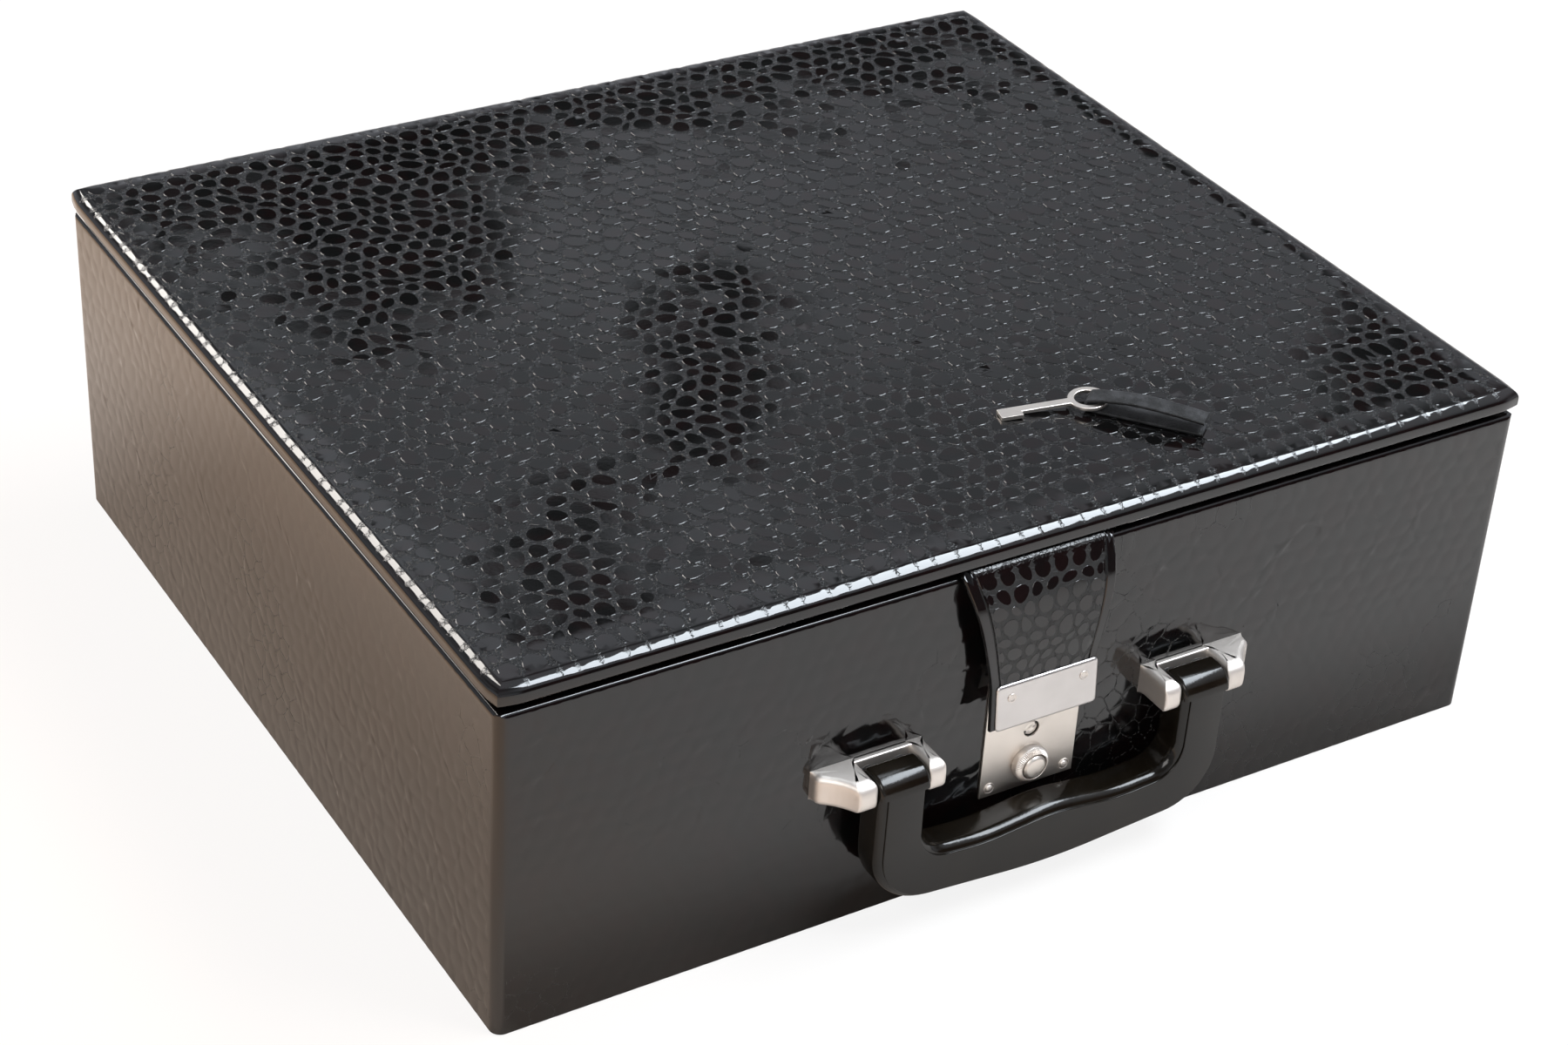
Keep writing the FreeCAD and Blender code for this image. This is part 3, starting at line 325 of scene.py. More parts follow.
def turned(profile, centre, axis, count=48, ring=False):
    """A profile of radius and height turned round an axis through a centre."""
    axis = np.array(axis, float)
    first = np.cross(axis, (0, 0, 1)) if abs(axis[2]) < 0.9 else np.array([1.0, 0, 0])
    first /= np.linalg.norm(first)
    second = np.cross(axis, first)
    angle = np.arange(count) * 2 * np.pi / count
    spoke = np.cos(angle)[:, None] * first + np.sin(angle)[:, None] * second
    radius, height = np.asarray(profile, float).T
    loops = np.array(centre) + radius[:, None, None] * spoke + height[:, None, None] * axis
    return carried(loops, ring)


def copies(part, places):
    """The same shape at several places."""
    points, faces = part
    places = np.asarray(places, float)
    shift = np.arange(len(places))[:, None, None] * len(points)
    return ((points[None] + places[:, None]).reshape(-1, 3),
            [(face[None] + shift).reshape(-1, face.shape[1]) for face in faces])


def joined(*parts):
    """Several shapes as one."""
    points, faces, start = [], [], 0
    for part_points, part_faces in parts:
        points.append(part_points)
        faces += [face + start for face in part_faces]
        start += len(part_points)
    return np.concatenate(points), faces


def round_rectangle(half, radius, straight=12, corner=6):
    """Points round a rectangle with rounded corners. A core point steps along the inner rectangle on the sides
    and waits at the corners, while the direction out of it waits on the sides and turns at the corners."""
    run_x, run_y = np.asarray(half, float) - radius
    steps = np.concatenate([np.linspace(i, i + 1, straight if i % 2 == 0 else corner, endpoint=False)
                            for i in range(8)])
    core_x = np.interp(steps, np.arange(9), run_x * np.array([-1, 1, 1, 1, 1, -1, -1, -1, -1]))
    core_y = np.interp(steps, np.arange(9), run_y * np.array([-1, -1, -1, 1, 1, 1, 1, -1, -1]))
    turn = np.interp(steps, np.arange(9), np.pi / 2 * np.array([0, 0, 1, 1, 2, 2, 3, 3, 4]))
    return np.stack([core_x + radius * np.sin(turn), core_y - radius * np.cos(turn)], -1)


def smoothed(points, rounds):
    """Closed rings drawn towards ovals: each point moves to the mean of itself and its neighbours."""
    for _ in range(rounds):
        points = (np.roll(points, 1, 1) + 2 * points + np.roll(points, -1, 1)) / 4
    return points


def surface(name, shape, body, material, slot, stands_for=(), crisp=None, **attributes):
    """A piece from a shape: points in millimetres, and faces as arrays of vertex numbers, one array for each
    number of corners. Each attribute has one value for each point."""
    points, faces = shape
    mesh = bpy.data.meshes.new(name)
    corner_counts = np.concatenate([np.full(len(part), part.shape[1]) for part in faces])
    corners = np.concatenate([np.asarray(part).ravel() for part in faces])
    mesh.vertices.add(len(points))
    mesh.vertices.foreach_set("co", (np.asarray(points) * MM).astype(np.float32).ravel())
    mesh.loops.add(len(corners))
    mesh.loops.foreach_set("vertex_index", corners.astype(np.int32))
    mesh.polygons.add(len(corner_counts))
    starts = np.concatenate([[0], np.cumsum(corner_counts)[:-1]])
    mesh.polygons.foreach_set("loop_start", starts.astype(np.int32))
    mesh.update(calc_edges=True)
    mesh.polygons.foreach_set("use_smooth", np.ones(len(corner_counts), bool))
    for label, values in attributes.items():
        mesh.attributes.new(label, "FLOAT", "POINT").data.foreach_set("value", np.asarray(values, np.float32))
    if crisp:
        mesh.set_sharp_from_angle(angle=math.radians(crisp))
    mesh.materials.append(material)
    piece = bpy.data.objects.new(name, mesh)
    bpy.context.scene.collection.objects.link(piece)
    if body:
        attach(piece, body)
    if stands_for:
        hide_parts(*stands_for)
    return piece


# Embossed scales

SCALE_PITCH = np.array([7.0, 6.5])
LEAN = 0.007
JITTER, SWELL, DRIFT = 0.15, 0.24, 0.2
OPEN_RINGS = ((0.925, 0.0), (0.88, 1.0))
CLOSE_RINGS = ((0.93, 1.0),)
SCALE_CRISP = 16
EMBOSS_LID, EMBOSS_WALL, EMBOSS_FLAP = 0.09, 0.05, 0.08
SEED_LID, SEED_WALL, SEED_FLAP, SEED_NOTCH = 11, 23, 5, 29


def scales(size, seed, rings, fine=1.0):
    """Scales as bricks in staggered rows, whose corners move to make uneven six-sided cells.
    A line of corners runs between two rows, half a brick apart, and each corner steps into the row whose joint
    it ends, which turns bricks into hexagons. Each cell then swells or shrinks by chance and pushes its corners
    along, and two slow waves drift the rows sideways.
    Inside each cell, oval rings climb from the crease to a flat, slightly leaning top: a ring has its share of
    the cell's size and its rise. Gives the points in the plane, the rise of each point (0 in a crease, 1 on a
    scale), its lean in millimetres, the faces, and the points along the low, right, high and left border."""
    rng = np.random.default_rng(seed)
    columns, rows = np.rint(np.array(size) / SCALE_PITCH / fine).astype(int)
    pitch = np.array(size) / (columns, rows)
    halves = 2 * columns
    k, j = np.meshgrid(np.arange(halves + 1), np.arange(rows + 1))
    free = np.stack([(k > 0) & (k < halves), (j > 0) & (j < rows)], -1)
    step = np.where((k + j) % 2 == 0, 1, -1) / 6
    corner = np.stack([k / 2, j + step * free[..., 1]], -1) + rng.uniform(-JITTER, JITTER, free.shape) * free
    count = k.size
    corner_number = np.arange(count).reshape(k.shape)
    level_number = corner_number + count
    joint_number = corner_number + 2 * count

    def cells_of(row, first, width):
        """Point numbers round the cells of a row, against the clock, by their first columns and width."""
        up, last = row + 1, first + width
        under = [part[row, first + i] for i in range(width) for part in (corner_number, level_number)]
        over = [part[up, first + i] for i in reversed(range(width)) for part in (level_number, corner_number)]
        ends = [corner_number[row, last], joint_number[row, last], corner_number[up, last]]
        return np.stack([*under, *ends, *over, joint_number[row, first]], -1)

    cells = [np.concatenate([cells_of(row, np.arange(row % 2, halves - 1, 2), 2) for row in range(rows)]),
             np.concatenate([cells_of(row, np.array([0, halves - 1]), 1) for row in range(1, rows, 2)])]
    six = cells[0][:, [0, 2, 4, 6, 8, 10]]
    spots = corner.reshape(-1, 2)
    reach = spots[six] - spots[six].mean(1, keepdims=True)
    push = np.zeros_like(spots)
    np.add.at(push, six, reach * rng.uniform(-SWELL, SWELL, (len(six), 1, 1)))
    drift = np.stack([np.sin(0.8 * j + 0.45 * k / 2 + seed) + 0.6 * np.sin(1.5 * j - 0.7 * k / 2),
                      np.sin(0.85 * k / 2 - 0.3 * j + seed) + 0.6 * np.sin(1.4 * k / 2 + 0.9 * j)], -1)
    inside = np.clip(np.minimum(np.minimum(k, halves - k) / 2, np.minimum(j, rows - j)) / 3, 0, 1)[..., None]
    corner = corner + push.reshape(corner.shape) * free + DRIFT * drift * inside

    def halfway(first, second):
        """Points halfway between corners, moved a little by chance."""
        middle = (first + second) / 2
        return middle + rng.uniform(-JITTER / 4, JITTER / 4, middle.shape)

    level = halfway(corner, np.roll(corner, -1, 1))
    level[[0, -1], :, 1] = corner[[0, -1], :, 1]
    joint = halfway(corner, np.roll(corner, -1, 0))
    joint[:, [0, -1], 0] = corner[:, [0, -1], 0]
    plane = np.concatenate([part.reshape(-1, 2) for part in (corner, level, joint)])
    shared = np.bincount(np.concatenate([part.ravel() for part in cells]), minlength=len(plane))
    edge_rise = (shared < 2).astype(float)
    points, rise, lean = [plane], [edge_rise], [np.zeros(len(plane))]
    faces = []
    total = len(plane)
    for outline in cells:
        middle = plane[outline].mean(1, keepdims=True)
        oval = smoothed(plane[outline], 3) - middle
        slope = rng.uniform(-LEAN, LEAN, (len(outline), 1, 2))
        below = outline
        for share, height in rings:
            made = total + np.arange(below.size).reshape(below.shape)
            points.append((middle + oval * share).reshape(-1, 2))
            rise.append(np.maximum(edge_rise[outline], height).ravel())
            lean.append(height * (oval * share * pitch * slope).sum(-1).ravel())
            quads = np.stack([below, np.roll(below, -1, 1), np.roll(made, -1, 1), made], -1)
            faces.append(quads.reshape(-1, 4))
            total += below.size
            below = made
        centre = total + np.arange(len(below))
        points.append(middle[:, 0])
        rise.append(np.ones(len(below)))
        lean.append(np.zeros(len(below)))
        spokes = np.repeat(centre[:, None], below.shape[1], 1)
        faces.append(np.stack([below, np.roll(below, -1, 1), spokes], -1).reshape(-1, 3))
        total += len(below)

    def woven(first, second):
        """Corners and the points between them, in turn."""
        return np.stack([first, second], -1).ravel()[:-1]

    borders = [woven(corner_number[0], level_number[0]), woven(corner_number[:, -1], joint_number[:, -1]),
               woven(corner_number[-1], level_number[-1]), woven(corner_number[:, 0], joint_number[:, 0])]
    used = np.unique(np.concatenate([part.ravel() for part in faces]))
    renumber = np.full(total, -1)
    renumber[used] = np.arange(len(used))
    return (np.concatenate(points)[used] * pitch, np.concatenate(rise)[used], np.concatenate(lean)[used],
            [renumber[part] for part in faces], [renumber[side] for side in borders])


def border_loop(borders):
    """The four borders as one loop, against the clock."""
    low, right, high, left = borders
    return np.concatenate([low[:-1], right[:-1], high[:0:-1], left[:0:-1]])


class Sheet:
    """Sheets of scales laid on a form, to which rows of points are added outside a border."""

    def __init__(self):
        self.points, self.rise, self.faces = [], [], []
        self.total = 0

    def add(self, points, rise, faces):
        """Points with their rise, and faces numbered from the first of them; gives that point's number."""
        start = self.total
        self.points.append(points)
        self.rise.append(rise)
        self.faces += [part + start for part in faces]
        self.total += len(points)
        return start

    def add_rows(self, border, rows, rise=1.0, closed=True, above=False):
        """Rows with one point for each border point; above is a border that the sheet ends at upwards."""
        rows = np.asarray(rows, float)
        start = self.add(rows.reshape(-1, 3), np.broadcast_to(rise, rows.shape[:2]).ravel(), [])
        numbers = start + np.arange(rows[..., 0].size).reshape(rows.shape[:2])
        self.join([border, *numbers], closed, above)
        return numbers

    def join(self, loops, closed=True, above=False):
        """Quads between loops of point numbers."""
        loops = np.array(loops)
        self.faces.append(strips(loops if above else loops[::-1], closed))

    def close(self, border, point):
        """A fan from the last loop to one point."""
        centre = self.add(np.asarray(point, float)[None], np.ones(1), [])
        self.faces.append(fan(border[::-1], centre))

    def make(self, name, body, material, stands_for):
        """The finished piece."""
        shape = np.concatenate(self.points), self.faces
        return surface(name, shape, body, material, "leatherette", stands_for, SCALE_CRISP,
                       rise=np.concatenate(self.rise))


# Lid leather

LID_CORNER, LID_TUCK, LID_TURN_IN = 5.3, 1.2, 14.0
LID_FALL, LID_FALL_RUN = 0.7, 10.0
LID_WAVE, LID_WAVE_RUN = 0.05, 20
LID_NOTCH, LID_NOTCH_SHARES = 0.3, (0.08, 0.35, 0.45, 0.12)
LID_NOTCH_TURNS, LID_NOTCH_DEPTHS = (8.0, 20.0, 34.0, 62.0), (0.35, 1.0, 0.8, 0.0)
LID_UNDER = ((0.3, 0.0), (0.97, 0.0), (1.0, 0.15), (1.0, 0.9))
LID_BENDS = ((math.radians(8), math.radians(45), 6.0, 11), (math.radians(45), math.radians(90), 2.5, 7))


def lid_cover():
    """The lid's leather: a sheet of scales, flat but for low sine waves and a fall to its border by a square
    law. Rows then follow outside the border over the edge's bends, wide and then tight, down the side, round the
    bottom tuck and under the lid. Near a corner the rows' direction turns by a border point's place in the
    corner square, so that the corner comes out round. Creases that reach the border become notches of uneven
    depth on the first bend, deeper towards the back, and run out over the second."""
    low, high = box_of("lid_covering")
    bent = sum(radius * (math.sin(last) - math.sin(first)) for first, last, radius, _ in LID_BENDS)
    flat_half = high[:2] - bent
    plane, rise, lean, faces, borders = scales(2 * flat_half, SEED_LID, OPEN_RINGS)
    flat = plane - flat_half
    core = flat_half - LID_CORNER
    away = flat - np.clip(flat, -core, core)
    direction = away / np.maximum(np.linalg.norm(away, axis=1), 1e-9)[:, None]
    inside = (flat_half - np.abs(flat)).min(1)
    x, y = flat.T
    wave = LID_WAVE * (np.sin(x / 13 + np.sin(y / 17)) + np.sin(y / 15) - 2)
    fall = LID_FALL * np.clip(1 - inside / LID_FALL_RUN, 0, 1) ** 2
    sunk = EMBOSS_LID * (1 - rise) - lean - wave * np.clip(inside / LID_WAVE_RUN, 0, 1)
    sheet = Sheet()
    sheet.add(np.column_stack([flat, high[2] - fall - np.maximum(sunk, 0)]), rise, faces)
    loop = border_loop(borders)
    edge, out = flat[loop], direction[loop]
    uneven = np.random.default_rng(SEED_NOTCH).uniform(0, 1, len(loop)) ** 2
    to_back = np.clip(0.3 + edge[:, 1] / flat_half[1], 0, 1)
    least, chance, both, behind = LID_NOTCH_SHARES
    depth = least + chance * uneven + both * uneven * to_back + behind * to_back
    notch = (1 - rise[loop]) * LID_NOTCH * depth

    def row(reach, drop, turn=0.0, crease=0.0):
        """The border moved outwards and down; turn is the surface's slope, for a crease sunk into it."""
        move = reach - crease * notch * math.sin(turn)
        return np.column_stack([edge + out * move[:, None], high[2] - drop - crease * notch * math.cos(turn)])

    rows, fades = [], []
    reach, drop = 0.0, LID_FALL
    for first, last, radius, steps in LID_BENDS:
        for turn in np.linspace(first, last, steps)[1:]:
            fades.append(np.interp(math.degrees(turn), LID_NOTCH_TURNS, LID_NOTCH_DEPTHS))
            rows.append(row(reach + radius * (math.sin(turn) - math.sin(first)),
                            drop + radius * (math.cos(first) - math.cos(turn)), turn, fades[-1]))
        reach += radius * (math.sin(last) - math.sin(first))
        drop += radius * (math.cos(first) - math.cos(last))
    side = high[2] - low[2] - LID_TUCK
    rows.append(row(reach, side))
    rows += [row(reach - LID_TUCK * (1 - math.cos(turn)), side + LID_TUCK * math.sin(turn))
             for turn in np.linspace(0, np.pi / 2, 6)[1:]]
    under = rows[-1][:, :2]
    goal = np.clip(under, LID_TURN_IN - high[:2], high[:2] - LID_TURN_IN)
    rows += [np.column_stack([under + (goal - under) * share, np.full(len(under), low[2] + up)])
             for share, up in LID_UNDER]
    fades = np.array(fades + [0.0] * (len(rows) - len(fades)))
    sheet.add_rows(loop, rows, 1 - fades[:, None] * (1 - rise[loop]))
    return sheet.make("lid_leather", "lid", LEATHER_LID, ("lid_covering", "lid_padding"))


# Wall leather

WALL_CORNER, WALL_ROLL, WALL_CORNER_STEPS = 3.5, 2.0, 8
WALL_TOP, WALL_UNDER = ((0.6, 0), (1.0, 0), (1.0, 0.8)), ((0.3, 0), (1, 0), (1, 0.6))


def wall_cover():
    """The walls' leather: a flat sheet of scales on each wall, joined round the upright edges by columns on a
    quarter circle. Rows then follow over the rim's quarter-circle roll and flat top, and under the foot."""
    low, high = box_of("side_covering")
    half = high[:2]
    run = half - WALL_CORNER
    tall = high[2] - low[2] - WALL_ROLL
    sheet = Sheet()

    def compass(turn):
        """Unit steps along a wall and out of it, after some quarter turns from the front."""
        angle = turn * np.pi / 2
        return np.array([math.cos(angle), math.sin(angle)]), np.array([math.sin(angle), -math.cos(angle)])

    walls = []
    for turn in range(4):
        ahead, out = compass(turn)
        length = 2 * run[turn % 2]
        plane, rise, lean, faces, borders = scales((length, tall), SEED_WALL + turn, CLOSE_RINGS)
        depth = half[1 - turn % 2] + np.minimum(lean - EMBOSS_WALL * (1 - rise), 0)
        plan = (plane[:, :1] - length / 2) * ahead + depth[:, None] * out
        heights = low[2] + plane[:, 1]
        start = sheet.add(np.column_stack([plan, heights]), rise, faces)
        walls.append(([side + start for side in borders], [heights[side] for side in borders]))
    rim, foot = [], []
    for turn in range(4):
        (bottom, right, top, _), (_, right_height, _, _) = walls[turn]
        (_, _, _, left), (_, _, _, left_height) = walls[(turn + 1) % 4]
        ahead, out = compass(turn)
        centre = ahead * run[turn % 2] + out * run[1 - turn % 2]
        shares = np.linspace(0, 1, WALL_CORNER_STEPS + 1)[1:-1]
        columns = [np.column_stack([np.tile(centre + WALL_CORNER * compass(turn + share)[1], (len(right), 1)),
                                    right_height + (left_height - right_height) * share]) for share in shares]
        numbers = sheet.add_rows(right, columns, closed=False)
        sheet.join([numbers[-1], left], closed=False)
        rim += [*top, *numbers[:, -1]]
        foot += [*bottom, *numbers[:, 0]]
    rim, foot = np.array(rim), np.array(foot)
    points = np.concatenate(sheet.points)

    def drawn_in(loop, share, goal, height):
        """A loop drawn a share of the way in to a rectangle, at a height."""
        edge = points[loop, :2]
        plan = edge + (np.clip(edge, -goal, goal) - edge) * share
        return np.column_stack([plan, np.full(len(edge), height)])

    inner = np.array([box_of("lining_right")[1][0], box_of("lining_back")[1][1]])
    board = np.array([box_of("front_board")[1][0], box_of("back_board")[1][1]])
    rolled = [(WALL_ROLL * (1 - math.cos(turn)), WALL_ROLL * (1 - math.sin(turn)))
              for turn in np.linspace(0, np.pi / 2, 7)[1:]]
    rows = [drawn_in(rim, 1.0, half - inset, high[2] - drop) for inset, drop in rolled]
    rows += [drawn_in(rim, share, inner, high[2] - drop) for share, drop in WALL_TOP]
    sheet.add_rows(rim, rows, above=True)
    sheet.add_rows(foot, [drawn_in(foot, share, board, low[2] + up) for share, up in WALL_UNDER])
    return sheet.make("wall_leather", "box", LEATHER_WALL, ("side_covering",))


# Flap

FLAP_TILT = math.radians(5)
FLAP_OUT = np.array([0, -math.cos(FLAP_TILT), math.sin(FLAP_TILT)])
FLAP_DOWN = np.array([0, -math.sin(FLAP_TILT), -math.cos(FLAP_TILT)])
FLAP_THICK, FLAP_EDGE, FLAP_BEND, FLAP_TUCK = 1.7, 3.5, 2.0, 2.0
FLAP_STEPS = (0.0, 5.0, 10.0, 16.0, 28.0)
FLAP_LEANS = (27.0, 26.0, 22.0, 7.0, -2.0)
FLAP_FINE, FLAP_SKEW, FLAP_SPARE, FLAP_FOLD_DULL = 0.74, 3.1, 0.5, 0.7
FLAP_TOP, FLAP_FLARE, FLAP_RUN, FLAP_BACK = 3.0, 3, 6, 1.69
FLAP_SEAM = ((0.05, 0.4), (0.13, 0.45))
FLAP_ROUND = ((0.96, 0.12), (1.0, 0.5), (1.0, 1.2), (0.96, 1.55), (0.9, 1.68))


def flap_path(pivot, hasp_low, hasp_high, level_run):
    """The flap's face as a line: level under the lid, round a bend, bowed down to the hasp and flat behind it.
    The line's lean from upright is eased between steps and summed up; the free stretch's lean is trimmed so
    that the line meets the hasp's back. Gives lengths, places (y, z), and the outward directions there."""
    behind = (pivot + FLAP_THICK * FLAP_OUT)[1:]
    hang = FLAP_DOWN[1:]
    meet = behind + hang * (behind[1] - hasp_high[2]) / -hang[1]
    bend = FLAP_BEND * math.radians(90 - FLAP_LEANS[0])
    tail = (hasp_high[2] - hasp_low[2]) / math.cos(FLAP_TILT) - 0.4
    level = level_run - FLAP_TUCK
    first = level + bend
    trim, free = 0.0, pivot[2] + FLAP_THICK - meet[1]
    for _ in range(8):
        length = np.linspace(0, first + free + tail, 900)
        lean = np.radians(np.interp(length - first, FLAP_STEPS, FLAP_LEANS)) + trim
        lean = np.where(length < first, np.pi / 2 - np.clip(length - level, 0, bend) / FLAP_BEND, lean)
        lean = np.where(length > first + free, FLAP_TILT, lean)
        lean = np.convolve(np.pad(lean, 12, "edge"), np.full(25, 1 / 25), "valid")
        step = np.diff(length, prepend=0)
        y = pivot[1] + level_run - np.cumsum(np.sin(lean) * step)
        z = pivot[2] + FLAP_THICK - np.cumsum(np.cos(lean) * step)
        at = np.searchsorted(length, first + free) - 1
        trim += (y[at] - meet[0]) / free
        free += z[at] - meet[1]
    return length, np.column_stack([y, z]), np.column_stack([-np.cos(lean), np.sin(lean)])


def flap_leather():
    """The flap: one strip of leather along its path, which narrows from the bend to the hasp. A sheet of scales
    covers its hanging face. Outside the sheet, rows make a sewn crease, a folded edge strip, the round edge,
    the duller stretch over the bend, and the back."""
    pivot = PIVOTS["flap_swing"]
    anchor_low, anchor_high = box_of("flap_anchor")
    hasp_low, hasp_high = box_of("hasp_plate")
    middle = (anchor_low[0] + anchor_high[0]) / 2
    top_half = (anchor_high[0] - anchor_low[0]) / 2
    low_half = (hasp_high[0] - hasp_low[0]) / 2 + FLAP_SPARE
    level_run = anchor_high[1] - pivot[1]
    lengths, line, outs = flap_path(pivot, hasp_low, hasp_high, level_run)
    length = lengths[-1]
    top = level_run - FLAP_TUCK + FLAP_TOP
    taper = length - top - (hasp_high[2] - hasp_low[2])

    def laid(share, along, sunk):
        """Places of the strip's points: share runs from -1 to 1 over its width. It hangs a little askew."""
        down = np.clip((along - top) / taper, 0, 1)
        half = top_half + (low_half - top_half) * down
        centre = middle - FLAP_SKEW * (1 - 0.7 * down)
        spot = np.column_stack([np.interp(along, lengths, line[:, i]) for i in range(2)])
        out = np.column_stack([np.interp(along, lengths, outs[:, i]) for i in range(2)])
        return np.column_stack([centre + share * half, spot + out * np.asarray(sunk)[:, None]])

    wide = low_half + FLAP_FLARE
    size = np.array([2 * (wide - FLAP_EDGE), length - top - FLAP_EDGE])
    plane, rise, lean, faces, borders = scales(size, SEED_FLAP, OPEN_RINGS, FLAP_FINE)
    share = (1 - 2 * plane[:, 0] / size[0]) * (1 - FLAP_EDGE / wide)
    along = top + plane[:, 1]
    sheet = Sheet()
    sheet.add(laid(share, along, np.minimum(lean - EMBOSS_FLAP * (1 - rise), 0)), rise, faces)
    loop = border_loop(borders)
    first_share, first_along = share[loop], along[loop]
    last_share = first_share / (1 - FLAP_EDGE / wide)
    sheet_end = length - FLAP_EDGE
    last_along = np.interp(first_along, (top, top + FLAP_RUN, sheet_end - FLAP_RUN, sheet_end),
                           (0, top + FLAP_RUN / 2, sheet_end - FLAP_RUN / 2, length))

    def row(part, depth, shrink=1.0):
        """A row part of the way to the strip's edge, sunk by a depth, and shrunk towards the middle."""
        there = first_along + (last_along - first_along) * part
        return laid((first_share + (last_share - first_share) * part) * shrink,
                    length / 2 + (there - length / 2) * shrink, np.broadcast_to(-depth, len(loop)))

    sewn = np.clip((first_along - top) / 4, 0, 1)
    rows = [row(part, depth * sewn) for part, depth in FLAP_SEAM]
    rows += [row(part, 0.0) for part in np.linspace(0.22, 0.9, 14)]
    rows += [row(part, depth) for part, depth in FLAP_ROUND]
    rows += [row(0.9, FLAP_BACK, shrink) for shrink in np.linspace(0.98, 0.02, 44)]
    levels = np.ones((len(rows), len(loop)))
    levels[:len(FLAP_SEAM)] -= sewn
    levels *= 1 - FLAP_FOLD_DULL * np.clip(1 - (first_along - top) / 3, 0, 1)
    numbers = sheet.add_rows(loop, rows, levels)
    sheet.close(numbers[-1], laid(np.zeros(1), np.full(1, length / 2), [-FLAP_BACK])[0])
    piece = sheet.make("flap_leather", None, LEATHER_FLAP, ("flap_face", "flap_backing", "flap_anchor"))
    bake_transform(piece)
    return piece


# Handle and brackets

SHELL_EDGES, PLATE_EDGES = (2.0, 2.0, 3.4, 3.4), (0.1, 0.1, 0.3, 0.3)
PLATE_STEP, PLATE_THICK, PLATE_INSET = 0.5, 1.0, 2.2
HANDLE_INNER, HANDLE_FOOT, HANDLE_DIP, HANDLE_DENT = 44.9, 13.2, 8.0, 24
HANDLE_BENDS = (20.0, 200.0, 20.0)
HANDLE_ARCH = ((29.0, 9.0), (27.4, 60.0), (30.2, 60.0))
KNUCKLE_EDGE, KNUCKLE_CORNER = 1.2, 0.5


def eased_line(corners, radii, arc=14):
    """Points along a line whose inner corners are rounded by arcs, and the lengths at which each arc begins and
    ends. Each arc touches both runs at radius times the tangent of half the turn."""
    corners = np.asarray(corners, float)
    points, marks = [corners[0]], []
    for before, corner, after, radius in zip(corners, corners[1:], corners[2:], radii):
        first = (before - corner) / np.linalg.norm(before - corner)
        second = (after - corner) / np.linalg.norm(after - corner)
        half = np.arccos(np.clip(first @ second, -1, 1)) / 2
        middle = (first + second) / np.linalg.norm(first + second)
        centre = corner + middle * radius / np.sin(half)
        swing = np.linspace(half - np.pi / 2, np.pi / 2 - half, arc)[:, None]
        side = first - middle * (first @ middle)
        side /= np.linalg.norm(side)
        marks.append((len(points), len(points) + arc - 1))
        points += list(centre - radius * (np.cos(swing) * middle + np.sin(swing) * side))
    points.append(corners[-1])
    points = np.array(points)
    lengths = np.concatenate([[0], np.cumsum(np.linalg.norm(np.diff(points, axis=0), axis=1))])
    return points, lengths, [(lengths[a], lengths[b]) for a, b in marks]


def stations(line, stops, counts):
    """Points of a line at evenly spaced lengths between stops."""
    points, lengths, _ = line
    places = np.concatenate([np.linspace(a, b, n, endpoint=False) for a, b, n in zip(stops, stops[1:], counts)]
                            + [[stops[-1]]])
    return np.column_stack([np.interp(places, lengths, points[:, i]) for i in range(2)])


def grip_lines():
    """The handle's outer and inner line at matching stations, from the left pin round to the right one."""
    outer_x = box_of("handle_front_shell")[1][0]
    pin = PIVOTS["handle_swing"][2]
    outer = eased_line([(-outer_x, pin), (-outer_x, HANDLE_FOOT), (0, HANDLE_DIP), (outer_x, HANDLE_FOOT),
                        (outer_x, pin)], HANDLE_BENDS)
    (shoulder, bend), (dent, soft), (crown, _) = HANDLE_ARCH
    inner = eased_line([(-HANDLE_INNER, pin), (-HANDLE_INNER, shoulder), (-HANDLE_DENT, dent), (0, crown),
                        (HANDLE_DENT, dent), (HANDLE_INNER, shoulder), (HANDLE_INNER, pin)],
                       (bend, soft, soft, soft, bend))
    lines = []
    for line in (outer, inner):
        total, marks = line[1][-1], line[2]
        stops = [0, *marks[0], total - marks[0][1], total - marks[0][0], total]
        lines.append(stations(line, stops, (8, 14, 40, 14, 8)))
    return lines


def grip_section(outer, inner, back, front, radii, inset=0.0):
    """A rounded four-sided section between the two lines at each station: radii are those of its inner back,
    outer back, outer front and inner front edges, and inset draws both sides in."""
    width = np.linalg.norm(outer - inner, axis=1)[:, None]
    toward = (outer - inner) / width
    quarter = np.linspace(0, np.pi / 2, 7)
    side, along, depth = [], [], []
    for turn, (far, ahead), radius in zip(range(4), ((0, 0), (1, 0), (1, 1), (0, 1)), radii):
        angle = quarter + np.pi + turn * np.pi / 2
        side.append(np.full(7, far))
        along.append((radius if far == 0 else -radius) + radius * np.cos(angle))
        depth.append((back + radius if ahead == 0 else front - radius) + radius * np.sin(angle))
    side, along, depth = (np.concatenate(part) for part in (side, along, depth))
    across = inset + side * (width - 2 * inset) + along
    plan = inner[:, None] + toward[:, None] * across[..., None]
    return np.stack([plan[..., 0], np.broadcast_to(-depth, across.shape), plan[..., 1]], -1)


